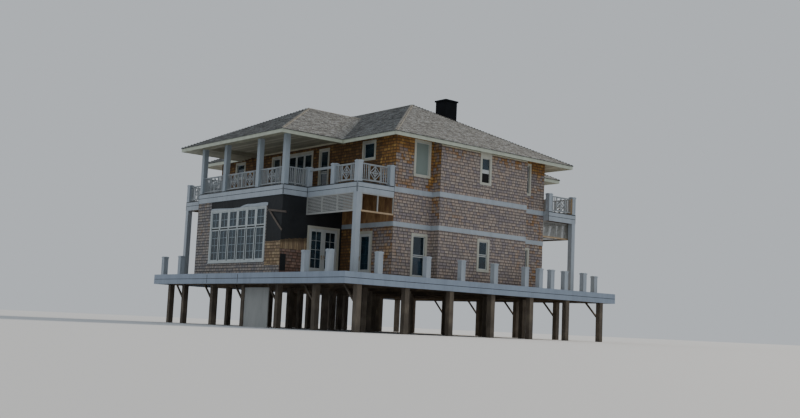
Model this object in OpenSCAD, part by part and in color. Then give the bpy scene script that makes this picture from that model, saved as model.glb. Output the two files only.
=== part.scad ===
// Beach house on piles: a tall two-storey core with a hipped roof, crossed by
// a lower hipped wing. Covered corner porches carry balconies, the wing's
// upper floor is an open porch on square columns, and a deck runs round it.
// The front faces -Y and the left-hand wing, with its window wall, faces -X.

/* [Levels] */
// Top of the main deck above the ground
deck_top = 2950; // [2600:10:3400]
// Rise from the main deck to the upper floor
storey_rise = 4790; // [4500:10:5200]
// Rise from the upper floor to the foot of the eaves
upper_rise = 2570; // [2500:10:2900]

/* [Plan] */
// Half the width over the corner balconies
half_x = 8620; // [8500:10:9200]
// Half the depth over the corner balconies
half_y = 8950; // [8800:10:9400]
// Width of a corner balcony, from its edge to the core's side wall
corner_x = 2500; // [2300:10:2700]
// Depth of a corner balcony, from its edge to the wing
corner_y = 4450; // [4300:10:4550]
// How far the wing stands out past the balcony edge
wing_out = 1550; // [1300:10:1800]
// Half the width of the front bay
bay_half = 3430; // [3200:10:3600]
// How far the front bay stands out
bay_out = 620; // [450:10:700]
// How far the right end of the front wall is set back
front_setback = 450; // [300:10:550]
// Thickness of the outer walls
wall_t = 200; // [160:5:240]

/* [Deck] */
// How far the deck reaches past the front balcony edge
deck_front = 1730; // [1500:10:1900]
// How far the deck reaches past the side balcony edges
deck_side = 1850; // [1750:10:1950]
// How far the deck reaches past the back wall
deck_back = 60; // [40:5:120]
// Thickness of the deck boards
board_t = 40; // [30:1:50]
// Depth of the floor joists
joist_h = 240; // [200:5:280]
// Spacing of the floor joists
joist_pitch = 610; // [500:10:700]
// Thickness of a floor joist
joist_t = 50; // [40:1:60]
// Depth of the girders on the piles
girder_h = 310; // [260:5:360]
// Width of a girder
girder_w = 160; // [120:5:200]
// Side of a square pile
pile_w = 300; // [250:5:350]
// Bays between the pile rows on each side of the middle
pile_bays = 3; // [2:1:4]
// Distance of the outer piles from the deck's left and right edges
pile_side_set = 1080; // [700:10:1300]
// Distance of the outer piles from the deck's front and back edges
pile_end_set = 330; // [250:10:500]
// Spacing of the piles along Y
pile_pitch_y = 3450; // [3300:10:3600]
// Thickness of a knee brace under the deck
brace_t = 90; // [60:5:120]
// How far a knee brace reaches out and down from its pile
brace_reach = 860; // [600:10:1000]
// Height of the grey panel beside a pile
panel_h = 2200; // [1500:10:2300]
// Width of that panel
panel_w = 2440; // [1200:10:2700]
// Height of the deck's edge boards
deck_edge_h = 590; // [560:5:600]
// Thickness of an edge board
edge_t = 45; // [35:1:60]
// Open joint where two edge boards meet at a corner
board_joint = 6; // [3:1:10]
// Height of the shadow groove halfway up the edge boards
groove_h = 20; // [10:1:30]
// Depth of that groove
groove_d = 20; // [10:1:28]

/* [Upper floor] */
// Thickness of the upper floor
floor_t = 300; // [260:5:340]
// Height of the balcony's edge boards
balcony_edge_h = 570; // [540:5:600]
// Width of the beam under a balcony edge
beam_w = 200; // [160:5:240]
// Side of a corner post under a balcony
post_w = 300; // [260:5:340]
// Side of a square column of the upper porch
column_w = 280; // [240:5:320]
// Distance of the inner columns from the wing's middle line
column_in = 1780; // [1600:10:1900]
// How far a post or column stands in from the edge boards
column_set = 10; // [5:1:20]

/* [Railings] */
// Height of the top rail above the floor
rail_h = 1000; // [900:10:1070]
// Height of the gap under a railing
rail_gap = 90; // [70:5:120]
// Side of a newel
newel_w = 300; // [260:5:340]
// Height of a newel without its cap
newel_h = 1040; // [1000:10:1150]
// Distance of the middle newel from a balcony's front edge
newel_pitch = 2230; // [2100:10:2400]
// Spacing of the two newels on the deck's side edges
side_newel_pitch = 2100; // [1900:10:2300]
// Distance of the nearer of them from the wing, in front of it
front_newel_from_wing = 2550; // [2300:10:2800]
// Distance of the nearer of them from the wing, behind it
back_newel_from_wing = 1450; // [1200:10:1700]
// Distance of the newels beside the wing from its end
wing_newel_in = 570; // [450:10:700]
// Thickness of a newel's cap
newel_cap_t = 50; // [30:5:70]
// How far a newel's cap stands out
newel_cap_out = 25; // [15:1:40]
// Side of a baluster
baluster_w = 36; // [28:1:45]
// Spacing of the balusters
baluster_pitch = 118; // [105:1:130]
// Width of a rail
rail_w = 70; // [55:1:90]
// Depth of a rail
rail_t = 55; // [45:1:70]
// Width of the lattice in the middle of a railing
lattice_side = 760; // [700:10:800]
// Depth of the panels sunk in a newel's faces
newel_panel_in = 12; // [8:1:20]
// Margin round those panels
newel_margin = 55; // [40:5:80]
// Rise of the low point on a newel's cap
newel_point = 35; // [20:1:60]
// Size of the lattice's inner diamond, as a share of the outer one
inner_diamond = 0.5; // [0.4:0.01:0.6]
// Height of the board that closes the gap of the missing railing
guard_h = 140; // [90:5:190]
// Thickness of that board
guard_t = 38; // [25:1:50]

/* [Windows and doors] */
// Width of the casing boards round an opening
casing_w = 100; // [80:5:115]
// How far a casing stands out from the wall
casing_out = 28; // [20:1:40]
// Thickness of a window or door jamb
jamb_t = 40; // [30:1:50]
// Depth of a window or door jamb behind the wall face
jamb_d = 130; // [110:5:150]
// Thickness of a window pane
pane_t = 16; // [10:1:24]
// How far a pane stands behind the wall face
pane_set = 60; // [50:1:80]
// Distance from the front bay to the middle of the left windows
left_window_from_bay = 820; // [760:5:900]
// Distance from the front bay to the middle of the right windows
right_window_from_bay = 1015; // [900:5:1100]
// Distance from the wing to the middle of the corner windows and side door
corner_window_from_wing = 2130; // [2000:10:2250]
// Height of the French door's opening
french_h = 2600; // [2400:10:2650]
// Width of the French door's opening
french_w = 1980; // [1800:10:2050]
// Distance from the French door's middle line to the core wall
french_from_core = 1250; // [1200:10:1300]
// Height of the side door's opening
side_door_h = 2400; // [2200:10:2500]
// Width of the side door's opening
side_door_w = 1060; // [960:10:1120]
// Clearance all round a door leaf
door_gap = 7; // [6:1:9]
// Clearance between the two leaves of the French door
meeting_gap = 10; // [9:1:14]
// Thickness of a door leaf
leaf_t = 45; // [40:1:50]
// Width of a door leaf's stiles
stile_w = 150; // [110:5:160]
// Height of a door leaf's bottom rail
bottom_rail_h = 400; // [300:10:430]
// Clearance under a door leaf
leaf_lift = 12; // [8:1:20]
// Thickness of a hinge's plate
hinge_plate = 5; // [4:1:6]
// Radius of a hinge knuckle
knuckle_r = 8; // [6:1:9]
// Length of a hinge knuckle
knuckle_l = 110; // [90:5:130]
// Distance of the outer hinges from the ends of a leaf
hinge_from_end = 200; // [150:10:260]
// Width of a hinge's plate
hinge_plate_w = 38; // [30:1:45]

/* [Window wall] */
// Width of the wing's window wall
big_w = 5730; // [5400:10:5900]
// Sill of the window wall above the deck
big_sill = 700; // [600:10:800]
// Head of the window wall above the deck
big_head = 3640; // [3500:10:3700]
// Units side by side in the window wall
big_units = 6; // [4:1:8]
// Head of the lower sashes above the deck
transom_z = 2560; // [2400:10:2700]
// Width of the posts between the units
mullion_w = 110; // [80:5:140]
// Height of the dark strip between the lower sashes and the transoms
strip_h = 80; // [60:5:110]
// How far the posts and the strip stand back from the wall face
post_set = 25; // [15:1:40]
// Width of a unit's frame and sash together
sash_w = 65; // [50:5:140]
// How far its panes stand behind the wall face
big_pane_set = 30; // [25:1:60]
// How far the sill of the window wall stands out
sill_out = 60; // [40:5:90]

/* [Roof] */
// How far the eaves overhang the walls
eave_out = 920; // [800:10:1000]
// How far the eaves overhang the front and back corners
eave_front = 1000; // [900:10:1100]
// Rise of the roof for each unit of run
pitch = 0.5; // [0.4:0.01:0.6]
// Thickness of the ceiling
ceiling_t = 100; // [80:5:120]
// How far the ceiling stands out over the side walls
plate_out = 30; // [20:1:40]
// How much of the ceiling's edge shows below the slope of the eaves
ceiling_lap = 5; // [3:1:8]
// Height of the rafter ends behind the eave boards
rafter_h = 180; // [160:5:200]
// Width of the flat foot of the rafter ends
rafter_lip = 10; // [5:1:20]
// Gap between the roof's slope and a wall that runs up to it
slope_gap = 2; // [1:1:4]
// Height of the beams on the porch columns
porch_beam_h = 240; // [200:5:280]
// Height of the eave boards
eave_h = 190; // [170:5:210]
// Thickness of the eave boards
eave_t = 30; // [25:1:40]
// Height of the roof's own edge
roof_edge = 30; // [20:1:45]
// How far the roofing stands out past the eave boards
drip = 30; // [20:1:45]
// Width of the chimney along X
chimney_x = 980; // [800:10:1100]
// Width of the chimney along Y
chimney_y = 930; // [700:10:1050]
// Chimney's near corner, from the roof's middle, to the right
chimney_at_x = 2460; // [2200:10:2600]
// Chimney's near corner, from the valley beside it, to the front
chimney_at_y = 1510; // [1200:10:1700]
// How far the chimney stands above the ridge
chimney_rise = 650; // [550:10:850]
// Gap between the chimney and the roof round it
chimney_gap = 10; // [5:1:20]
// How far the chimney's cap stands out
chimney_cap_out = 60; // [30:5:80]
// Height of the chimney's cap
chimney_cap_t = 100; // [50:5:130]

/* [Trim] */
// Height of the band at the upper floor
band_h = 270; // [230:5:300]
// Height of the band over the lower openings
head_band_h = 250; // [220:5:270]
// Top of the band over the lower openings, above the deck
head_band_top = 2940; // [2900:10:3000]
// Thickness of the bands
band_t = 25; // [18:1:35]
// Drop of the louvre panels under the balcony
louvre_h = 980; // [900:10:1050]
// Side of a louvre panel's frame bars
louvre_frame = 60; // [45:1:75]
// Slats in the height of a louvre panel
louvre_slats = 11; // [8:1:14]
// Thickness of a louvre slat
slat_t = 12; // [8:1:18]

/* [Hidden] */

upper_top = deck_top + storey_rise;
lower_h = storey_rise - floor_t;
eave_z = upper_top + upper_rise;
roof_base = eave_z + rafter_h;
under_set = eave_t + rafter_lip;
ceiling_z = eave_z + pitch * (eave_out - under_set - plate_out) - ceiling_lap;
wall_h = ceiling_z - upper_top;
core_x = half_x - corner_x;
wing_x = half_x + wing_out;
wing_y = half_y - corner_y;
deck_x = half_x + deck_side;
deck_y0 = -half_y - deck_front;
deck_y1 = half_y + deck_back;
girder_z = deck_top - board_t - joist_h - girder_h;
eave_core_x = core_x + eave_out;
eave_core_y = half_y + eave_front;
eave_wing_x = wing_x + eave_out;
eave_wing_y = wing_y + eave_out;
ceiling_x = core_x + plate_out;
ceiling_y = eave_core_y - eave_out + plate_out;
ridge_z = roof_base + roof_edge + pitch * (eave_core_x + drip);
valley_y = chimney_at_x + chimney_x + eave_wing_y - eave_core_x;
chimney_y0 = -valley_y - chimney_at_y;
column_end = wing_y - column_set - column_w / 2;
column_x = wing_x - column_set - column_w / 2;
newel_mid = half_y - newel_pitch;
pile_y0 = deck_y0 + pile_end_set;
pile_y1 = deck_y1 - pile_end_set;
pile_first = ceil(pile_y0 / pile_pitch_y + 0.5);
pile_last = floor(pile_y1 / pile_pitch_y - 0.5);
pile_rows = [pile_y0, for (i = [pile_first:pile_last]) i * pile_pitch_y, pile_y1];
pile_columns = [for (i = [-pile_bays:pile_bays]) i * (deck_x - pile_side_set) / pile_bays];
LEFT = -90;
RIGHT = 90;
FRONT = 0;
BACK = 180;
sliver = 1;
white = "#dfe3e6";
shingle = "#9c7a5c";
timber = "#8d7f6c";
glass_colour = "#5f7480";
roofing = "#83796b";

// Openings in a wall: [middle, width, sill, head], measured along the wall
left_window_x = -bay_half - left_window_from_bay;
right_window_x = bay_half + right_window_from_bay;
front_lower = [[left_window_x, 940, 120, 2340], [0, 760, 760, 2400], [right_window_x, 760, 120, 2340]];
front_upper = [[left_window_x, 1010, 820, 2650], [0, 700, 870, 2310], [right_window_x, 760, 900, 2650]];
back_lower = [[-4350, 1000, 760, 2400], [0, 1000, 760, 2400], [4350, 1000, 760, 2400]];
back_upper = [[-4350, 1000, 820, 2650], [0, 1000, 820, 2650], [4350, 1000, 820, 2650]];
corner_window_at = wing_y + corner_window_from_wing;
porch_lower = [[corner_window_at, side_door_w, 120, side_door_h]];
side_upper = [
    [-corner_window_at, 990, 1700, 2620], [corner_window_at, 990, 1700, 2620],
    [-2480, 820, 20, 2600], [2480, 820, 20, 2600], [0, 2540, 20, 2600]
];
wing_side_lower = [[0, french_w, 120, french_h]];
big_opening = [[0, big_w, big_sill, big_head]];
french_mid = core_x + french_from_core;
french_leaf_w = (french_w - 2 * jamb_t - 2 * door_gap - meeting_gap) / 2;
french_leaf_h = french_h - jamb_t - door_gap - leaf_lift;
side_leaf_w = side_door_w - 2 * jamb_t - 2 * door_gap;
side_leaf_h = side_door_h - jamb_t - door_gap - leaf_lift;
hinge_set = knuckle_r + hinge_plate - 2;
deck_newel_set = newel_w / 2 + newel_cap_out;
front_newels = [-8240, -5000, -2500, 0, 2500, 3700, 4700, 5900, 7600];
side_newels = [
    -wing_y - front_newel_from_wing - side_newel_pitch, -wing_y - front_newel_from_wing,
    wing_y + back_newel_from_wing, wing_y + back_newel_from_wing + side_newel_pitch
];
wing_newel_x = wing_x - wing_newel_in;
unit = (big_w - 2 * jamb_t + mullion_w) / big_units;

// Turns a wall so that its outside faces the given side; local -Y is outwards
module facing(side, face) {
    rotate([0, 0, side]) translate([0, -face, 0]) children();
}

module wall(side, face, x0, x1, z0, h, openings = []) {
    facing(side, face) difference() {
        translate([x0, 0, z0]) cube([x1 - x0, wall_t, h]);
        for (o = openings)
            translate([o[0] - o[1] / 2, -sliver, z0 + o[2]])
                cube([o[1], wall_t + 2 * sliver, o[3] - o[2]]);
    }
}

// The openings whose middles lie between two places along the wall
function within(list, x0, x1) = [for (o = list) if (o[0] > x0 && o[0] < x1) o];

// A flat frame in the XZ plane, its outer edges and its hole, front at y0
module flat_frame(x0, x1, z0, z1, inset, y0, depth) {
    difference() {
        translate([x0, y0, z0]) cube([x1 - x0, depth, z1 - z0]);
        translate([x0 + inset, y0 - sliver, z0 + inset])
            cube([x1 - x0 - 2 * inset, depth + 2 * sliver, z1 - z0 - 2 * inset]);
    }
}

// One window's casing, jamb and sill, set into an opening of a wall
module window_frame(side, face, z0, o) {
    x0 = o[0] - o[1] / 2;
    x1 = o[0] + o[1] / 2;
    sill = z0 + o[2];
    head = z0 + o[3];
    facing(side, face) union() {
        difference() {
            translate([x0 - casing_w, -casing_out, sill - min(casing_w, o[2])])
                cube([o[1] + 2 * casing_w, casing_out, head - sill + casing_w + min(casing_w, o[2])]);
            translate([x0 + jamb_t, -casing_out - sliver, sill + jamb_t])
                cube([o[1] - 2 * jamb_t, casing_out + 2 * sliver, head - sill - 2 * jamb_t]);
        }
        flat_frame(x0, x1, sill, head, jamb_t, 0, jamb_d);
    }
}

module window_pane(side, face, z0, o) {
    facing(side, face)
        translate([o[0] - o[1] / 2 + jamb_t, pane_set, z0 + o[2] + jamb_t])
            cube([o[1] - 2 * jamb_t, pane_t, o[3] - o[2] - 2 * jamb_t]);
}

// Rectangular ring of four edge boards with open joints at the corners
module edge_ring(x0, x1, y0, y1, top, h, t) {
    j = board_joint / 2;
    translate([x0 + j, y0, top - h]) cube([x1 - x0 - 2 * j, t, h]);
    translate([x0 + j, y1 - t, top - h]) cube([x1 - x0 - 2 * j, t, h]);
    translate([x0, y0 + t + j, top - h]) cube([t, y1 - y0 - 2 * t - 2 * j, h]);
    translate([x1 - t, y0 + t + j, top - h]) cube([t, y1 - y0 - 2 * t - 2 * j, h]);
}

// Edge boards round the cross of core and wings, each run a board of its own
module cross_ring(cx, cy, wx, wy, top, h, t) {
    j = board_joint / 2;
    for (sy = [-1, 1]) {
        scale([1, sy, 1]) {
            translate([-cx + j, -cy, top - h]) cube([2 * cx - 2 * j, t, h]);
            for (sx = [-1, 1]) scale([sx, 1, 1]) {
                translate([cx - t, -cy + t + j, top - h]) cube([t, cy - wy - 2 * j, h]);
                translate([cx + j, -wy, top - h]) cube([wx - cx - 2 * j, t, h]);
            }
        }
    }
    for (sx = [-1, 1]) scale([sx, 1, 1])
        translate([wx - t, -wy + t + j, top - h]) cube([t, 2 * wy - 2 * t - 2 * j, h]);
}

// The solid under a hipped roof, from two crossed ridges of equal pitch
module hip_solid(hx, hy, edge) {
    intersection() {
        rotate([90, 0, 0]) linear_extrude(2 * hy, center = true)
            polygon([[-hx, 0], [hx, 0], [hx, edge], [0, edge + pitch * hx], [-hx, edge]]);
        rotate([90, 0, 90]) linear_extrude(2 * hx, center = true)
            polygon([[-hy, 0], [hy, 0], [hy, edge], [0, edge + pitch * hy], [-hy, edge]]);
    }
}

// Half a cross-section of a roof between its eave boards, with its drip edges
function roof_section(h) = [
    [-h + eave_t, -rafter_h], [h - eave_t, -rafter_h], [h - eave_t, 0], [h + drip, 0], [h + drip, roof_edge],
    [0, roof_edge + pitch * (h + drip)], [-h - drip, roof_edge], [-h - drip, 0], [-h + eave_t, 0]
];

// A hipped roof before it is hollowed, from the foot of its rafter ends up
module hip_roof(hx, hy) {
    intersection() {
        rotate([90, 0, 0]) linear_extrude(2 * (hy + drip), center = true) polygon(roof_section(hx));
        rotate([90, 0, 90]) linear_extrude(2 * (hx + drip), center = true) polygon(roof_section(hy));
    }
}

// The hollow under a hipped roof, whose slopes are the soffits of the eaves
module hip_under(hx, hy) {
    translate([0, 0, -rafter_h - sliver]) hip_solid(hx - under_set, hy - under_set, sliver);
}

// Keeps what stands below the slope of the core's eaves
module under_roof() {
    intersection() {
        children();
        translate([0, 0, deck_top])
            hip_solid(eave_core_x - under_set, eave_core_y - under_set, eave_z - slope_gap - deck_top);
    }
}

// A slab over a rectangle round the middle of the house
module middle_slab(hx, hy, z, h) {
    translate([-hx, -hy, z]) cube([2 * hx, 2 * hy, h]);
}

// Cuts a shadow groove at mid-height into the faces outside a plan
module grooved(top, h) {
    difference() {
        children([0:$children - 2]);
        translate([0, 0, top - (h + groove_h) / 2]) linear_extrude(groove_h) difference() {
            square(4 * deck_x, center = true);
            children($children - 1);
        }
    }
}

module piles() {
    color(timber) for (x = pile_columns, y = pile_rows)
        translate([x - pile_w / 2, y - pile_w / 2, 0]) cube([pile_w, pile_w, girder_z]);
}

module girders() {
    color(timber) for (x = pile_columns)
        translate([x - girder_w / 2, deck_y0 + 2 * edge_t, girder_z])
            cube([girder_w, deck_y1 - deck_y0 - 4 * edge_t, girder_h]);
}

// Braces from the outer piles up to the girders, towards the back
module knee_braces() {
    c = brace_t * sqrt(2);
    r = brace_reach;
    color(timber) for (sx = [-1, 1], i = [0:len(pile_rows) - 2])
        translate([sx * pile_columns[0] - brace_t / 2, pile_rows[i] + pile_w / 2, girder_z])
            rotate([90, 0, 90]) linear_extrude(brace_t) polygon([[0, -r - c], [r + c, 0], [r, 0], [0, -r]]);
}

module joists() {
    span = deck_y1 - deck_y0 - 2 * edge_t - joist_t;
    n = floor(span / joist_pitch);
    color(timber) for (i = [0:n])
        translate([-deck_x + edge_t, deck_y0 + edge_t + i * span / n, girder_z + girder_h])
            cube([2 * (deck_x - edge_t), joist_t, joist_h]);
}

module main_floor() {
    color("#a99f91") translate([-deck_x + edge_t, deck_y0 + edge_t, deck_top - board_t])
        cube([2 * deck_x - 2 * edge_t, deck_y1 - deck_y0 - 2 * edge_t, board_t]);
}

module deck_edge() {
    d = groove_d;
    color(white) grooved(deck_top, deck_edge_h) {
        edge_ring(-deck_x, deck_x, deck_y0, deck_y1, deck_top, deck_edge_h, edge_t);
        translate([-deck_x + d, deck_y0 + d]) square([2 * (deck_x - d), deck_y1 - deck_y0 - 2 * d]);
    }
}

// A boxed newel with a sunk panel in each face, a moulding and a pointed cap
module newel(x, y, z) {
    w = newel_w + 2 * newel_cap_out;
    m = newel_w - 2 * newel_margin;
    translate([x, y, z]) {
        difference() {
            translate([-newel_w / 2, -newel_w / 2, 0]) cube([newel_w, newel_w, newel_h]);
            for (side = [0:3]) rotate([0, 0, 90 * side])
                translate([-m / 2, -newel_w / 2 - sliver, 2 * newel_margin])
                    cube([m, newel_panel_in + sliver, newel_h - 4 * newel_margin]);
        }
        translate([0, 0, newel_h - newel_cap_out]) linear_extrude(newel_cap_out)
            square(newel_w + newel_cap_out, center = true);
        translate([0, 0, newel_h]) intersection() {
            for (side = [0, 1]) rotate([90, 0, 90 * side]) linear_extrude(w, center = true) polygon([
                [-w / 2, 0], [w / 2, 0], [w / 2, newel_cap_t], [0, newel_cap_t + newel_point],
                [-w / 2, newel_cap_t]]);
        }
    }
}

module deck_newels() {
    color(white) {
        for (x = front_newels) newel(x, deck_y0 + deck_newel_set, deck_top);
        for (sx = [-1, 1]) {
            for (y = side_newels) newel(sx * (deck_x - deck_newel_set), y, deck_top);
            newel(sx * wing_newel_x, wing_y + deck_newel_set, deck_top);
        }
    }
}

// The grey board panel in front of the fourth pile of the left row
module breakaway_panel() {
    x = pile_columns[0] - brace_t / 2 - edge_t;
    color("#8f9694") translate([x, pile_rows[3] - pile_w / 2 - panel_w, 0]) cube([edge_t, panel_w, panel_h]);
}

module front_walls_lower() {
    color(shingle) {
        wall(FRONT, half_y, -core_x, -bay_half, deck_top, lower_h,
            within(front_lower, -core_x, -bay_half));
        wall(FRONT, half_y - front_setback, bay_half, core_x, deck_top, lower_h,
            within(front_lower, bay_half, core_x));
    }
}

module front_bay_lower() {
    color(shingle) wall(FRONT, half_y + bay_out, -bay_half, bay_half, deck_top, lower_h,
        within(front_lower, -bay_half, bay_half));
}

// Short walls that close the sides of the front bay on one storey
module cheeks(z, h) {
    y0 = -half_y - bay_out + wall_t;
    translate([-bay_half, y0, z]) cube([wall_t, bay_out, h]);
    translate([bay_half - wall_t, y0, z]) cube([wall_t, bay_out + front_setback, h]);
}

module bay_cheeks() {
    color(shingle) {
        cheeks(deck_top, lower_h);
        under_roof() cheeks(upper_top, wall_h);
    }
}

module back_wall_lower() {
    color(shingle) wall(BACK, half_y, -core_x, core_x, deck_top, lower_h, back_lower);
}

// The core's side walls on the three porches that have no opening door
module porch_side_walls() {
    color(shingle) {
        wall(LEFT, core_x, -half_y + wall_t, -wing_y, deck_top, lower_h,
            [for (o = porch_lower) [-o[0], o[1], o[2], o[3]]]);
        wall(RIGHT, core_x, -half_y + front_setback + wall_t, -wing_y, deck_top, lower_h,
            [for (o = porch_lower) [-o[0], o[1], o[2], o[3]]]);
        wall(RIGHT, core_x, wing_y, half_y - wall_t, deck_top, lower_h, porch_lower);
    }
}

// The core wall beside the side door
module side_door_wall() {
    d0 = corner_window_at - side_door_w / 2;
    d1 = corner_window_at + side_door_w / 2;
    color(shingle) {
        wall(LEFT, core_x, wing_y, d0, deck_top, lower_h);
        wall(LEFT, core_x, d1, half_y - wall_t, deck_top, lower_h);
    }
}

// The wing's front wall beside the French door
module french_door_wall() {
    color(shingle) {
        wall(FRONT, wing_y, -wing_x, -french_mid - french_w / 2, deck_top, lower_h);
        wall(FRONT, wing_y, -french_mid + french_w / 2, -core_x + wall_t, deck_top, lower_h);
    }
}

module door_lintels() {
    color(shingle) {
        wall(FRONT, wing_y, -french_mid - french_w / 2, -french_mid + french_w / 2,
            deck_top + french_h, lower_h - french_h);
        wall(LEFT, core_x, corner_window_at - side_door_w / 2, corner_window_at + side_door_w / 2,
            deck_top + side_door_h, lower_h - side_door_h);
    }
}

module wing_end_walls() {
    color(shingle) for (side = [LEFT, RIGHT])
        wall(side, wing_x, -wing_y + wall_t, wing_y - wall_t, deck_top, lower_h, big_opening);
}

module wing_side_walls() {
    color(shingle) {
        wall(BACK, wing_y, core_x - wall_t, wing_x, deck_top, lower_h,
            [for (o = wing_side_lower) [french_mid, o[1], o[2], o[3]]]);
        wall(BACK, wing_y, -wing_x, -core_x + wall_t, deck_top, lower_h,
            [for (o = wing_side_lower) [-french_mid, o[1], o[2], o[3]]]);
        wall(FRONT, wing_y, core_x - wall_t, wing_x, deck_top, lower_h,
            [for (o = wing_side_lower) [french_mid, o[1], o[2], o[3]]]);
    }
}

module front_walls_upper() {
    color(shingle) {
        wall(FRONT, half_y, -core_x, -bay_half, upper_top, wall_h,
            within(front_upper, -core_x, -bay_half));
        wall(FRONT, half_y - front_setback, bay_half, core_x, upper_top, wall_h,
            within(front_upper, bay_half, core_x));
    }
}

module front_bay_upper() {
    color(shingle) under_roof() wall(FRONT, half_y + bay_out, -bay_half, bay_half, upper_top, wall_h,
        within(front_upper, -bay_half, bay_half));
}

module back_wall_upper() {
    color(shingle) wall(BACK, half_y, -core_x, core_x, upper_top, wall_h, back_upper);
}

module side_walls_upper() {
    color(shingle) {
        wall(LEFT, core_x, -half_y + wall_t, half_y - wall_t, upper_top, wall_h, side_upper);
        wall(RIGHT, core_x, -half_y + front_setback + wall_t, half_y - wall_t, upper_top, wall_h, side_upper);
    }
}

// The upper floor in plain slabs: core, front strip, bay, wings and balconies
module upper_floor() {
    j = board_joint;
    set_y = -half_y + front_setback;
    color("#8a6f57") translate([0, 0, upper_top - floor_t]) {
        translate([-core_x, set_y, 0]) cube([2 * core_x, half_y - set_y, floor_t]);
        translate([-core_x, -half_y, 0]) cube([core_x - bay_half - j, front_setback - j, floor_t]);
        translate([-bay_half, -half_y - bay_out, 0])
            cube([2 * bay_half, bay_out + front_setback - j, floor_t]);
        for (sx = [-1, 1]) scale([sx, 1, 1]) {
            translate([core_x + j, -wing_y, 0]) cube([wing_x - core_x - j, 2 * wing_y, floor_t]);
            for (sy = [-1, 1]) scale([1, sy, 1]) {
                from = core_x + (sx > 0 && sy < 0 ? edge_t : j);
                translate([from, wing_y + j, 0])
                    cube([half_x - edge_t - from, corner_y - edge_t - j, floor_t]);
            }
        }
    }
}

// Beams under the balcony edges, which carry the floor and rest on the posts
module balcony_beams() {
    z = upper_top - balcony_edge_h;
    h = balcony_edge_h - floor_t;
    x1 = half_x - edge_t - beam_w;
    color("#7a6350") for (sx = [-1, 1], sy = [-1, 1]) {
        x0 = core_x + (sx > 0 && sy < 0 ? edge_t : 0);
        scale([sx, sy, 1]) {
            translate([x0, half_y - edge_t - beam_w, z]) cube([x1 - board_joint - x0, beam_w, h]);
            translate([x1, wing_y, z]) cube([beam_w, corner_y - edge_t, h]);
        }
    }
}

// Boards of the balconies' and wings' edges, with open joints at corners
module balcony_edge_boards() {
    j = board_joint / 2;
    z = upper_top - balcony_edge_h;
    h = balcony_edge_h;
    for (sx = [-1, 1]) scale([sx, 1, 1]) {
        for (sy = [-1, 1]) scale([1, sy, 1]) {
            translate([core_x, half_y - edge_t, z]) cube([corner_x - j, edge_t, h]);
            translate([half_x - edge_t, wing_y + j, z]) cube([edge_t, corner_y - edge_t - 2 * j, h]);
            translate([half_x + j, wing_y, z]) cube([wing_out + edge_t - 2 * j, edge_t, h]);
        }
        translate([wing_x, -wing_y + j, z]) cube([edge_t, 2 * (wing_y - j), h]);
    }
    translate([core_x, -half_y + edge_t + j, z]) cube([edge_t, front_setback - edge_t - j, h]);
}

module balcony_edge() {
    wx = wing_x + edge_t - groove_d;
    wy = wing_y + edge_t - groove_d;
    color(white) grooved(upper_top, balcony_edge_h) {
        balcony_edge_boards();
        union() {
            square([2 * (half_x - groove_d), 2 * (half_y - groove_d)], center = true);
            square([2 * wx, 2 * wy], center = true);
        }
    }
}

// Bands round the walls, each run a board of its own that butts at the corners
module trim_bands() {
    t = band_t;
    j = board_joint;
    bay_y = -half_y - bay_out;
    set_y = -half_y + front_setback;
    color(white) for (level = [[upper_top, band_h], [deck_top + head_band_top, head_band_h]])
        translate([0, 0, level[0] - level[1]]) {
            h = level[1];
            translate([-core_x - t, -half_y - t, 0]) cube([core_x - bay_half, t, h]);
            translate([-bay_half - t, bay_y - t, 0]) cube([2 * (bay_half + t), t, h]);
            translate([bay_half + t, set_y - t, 0])
                cube([core_x - bay_half - (level[0] == upper_top ? t + j : 0), t, h]);
            translate([-core_x - t, half_y, 0]) cube([2 * (core_x + t), t, h]);
            translate([-bay_half - t, bay_y + j, 0]) cube([t, bay_out - t - 2 * j, h]);
            translate([bay_half, bay_y + j, 0]) cube([t, bay_out + front_setback - t - 2 * j, h]);
        }
    z = deck_top + head_band_top - head_band_h;
    color(white) for (sx = [-1, 1], sy = [-1, 1]) {
        end = sx > 0 && sy < 0 ? -set_y : half_y;
        scale([sx, sy, 1]) translate([core_x, wing_y, z]) cube([t, end - wing_y - j, head_band_h]);
    }
}

module porch_posts() {
    color(white) for (sx = [-1, 1], sy = [-1, 1]) scale([sx, sy, 1])
        translate([half_x - column_set - post_w, half_y - column_set - post_w, deck_top])
            cube([post_w, post_w, storey_rise - balcony_edge_h]);
}

// A frame of bays along +X, filled with sloping slats
module louvre_panel(length, bays, slatted) {
    bay = (length - louvre_frame) / bays;
    step = (louvre_h - 2 * louvre_frame) / louvre_slats;
    in = louvre_frame / 6;
    rise = step * 0.75;
    for (i = [0:bays]) translate([i * bay, 0, 0]) cube([louvre_frame, louvre_frame, louvre_h]);
    cube([length, louvre_frame, louvre_frame]);
    translate([0, 0, louvre_h - louvre_frame]) cube([length, louvre_frame, louvre_frame]);
    if (slatted) for (k = [0:louvre_slats - 1])
        translate([louvre_frame / 2, 0, louvre_frame + k * step]) rotate([90, 0, 90])
            linear_extrude(length - louvre_frame) polygon([
                [in, 0], [in + slat_t, 0], [louvre_frame - in, rise], [louvre_frame - in - slat_t, rise]]);
}

// Louvres over the front porches: three bays at the side and two at the front
module porch_louvres() {
    z = upper_top - balcony_edge_h - louvre_h;
    side_l = corner_y - column_set - post_w;
    in = louvre_frame + column_set;
    color(white) for (sx = [-1, 1]) scale([sx, 1, 1]) {
        front_y = -half_y + (sx > 0 ? front_setback : column_set);
        front_l = sx > 0 ? corner_x - in - board_joint : corner_x - column_set - post_w;
        translate([half_x - column_set, -wing_y, z]) mirror([0, 1, 0]) rotate([0, 0, 90])
            louvre_panel(side_l, 3, true);
        translate([core_x, front_y, z]) louvre_panel(front_l, 2, sx > 0);
    }
}

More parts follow.
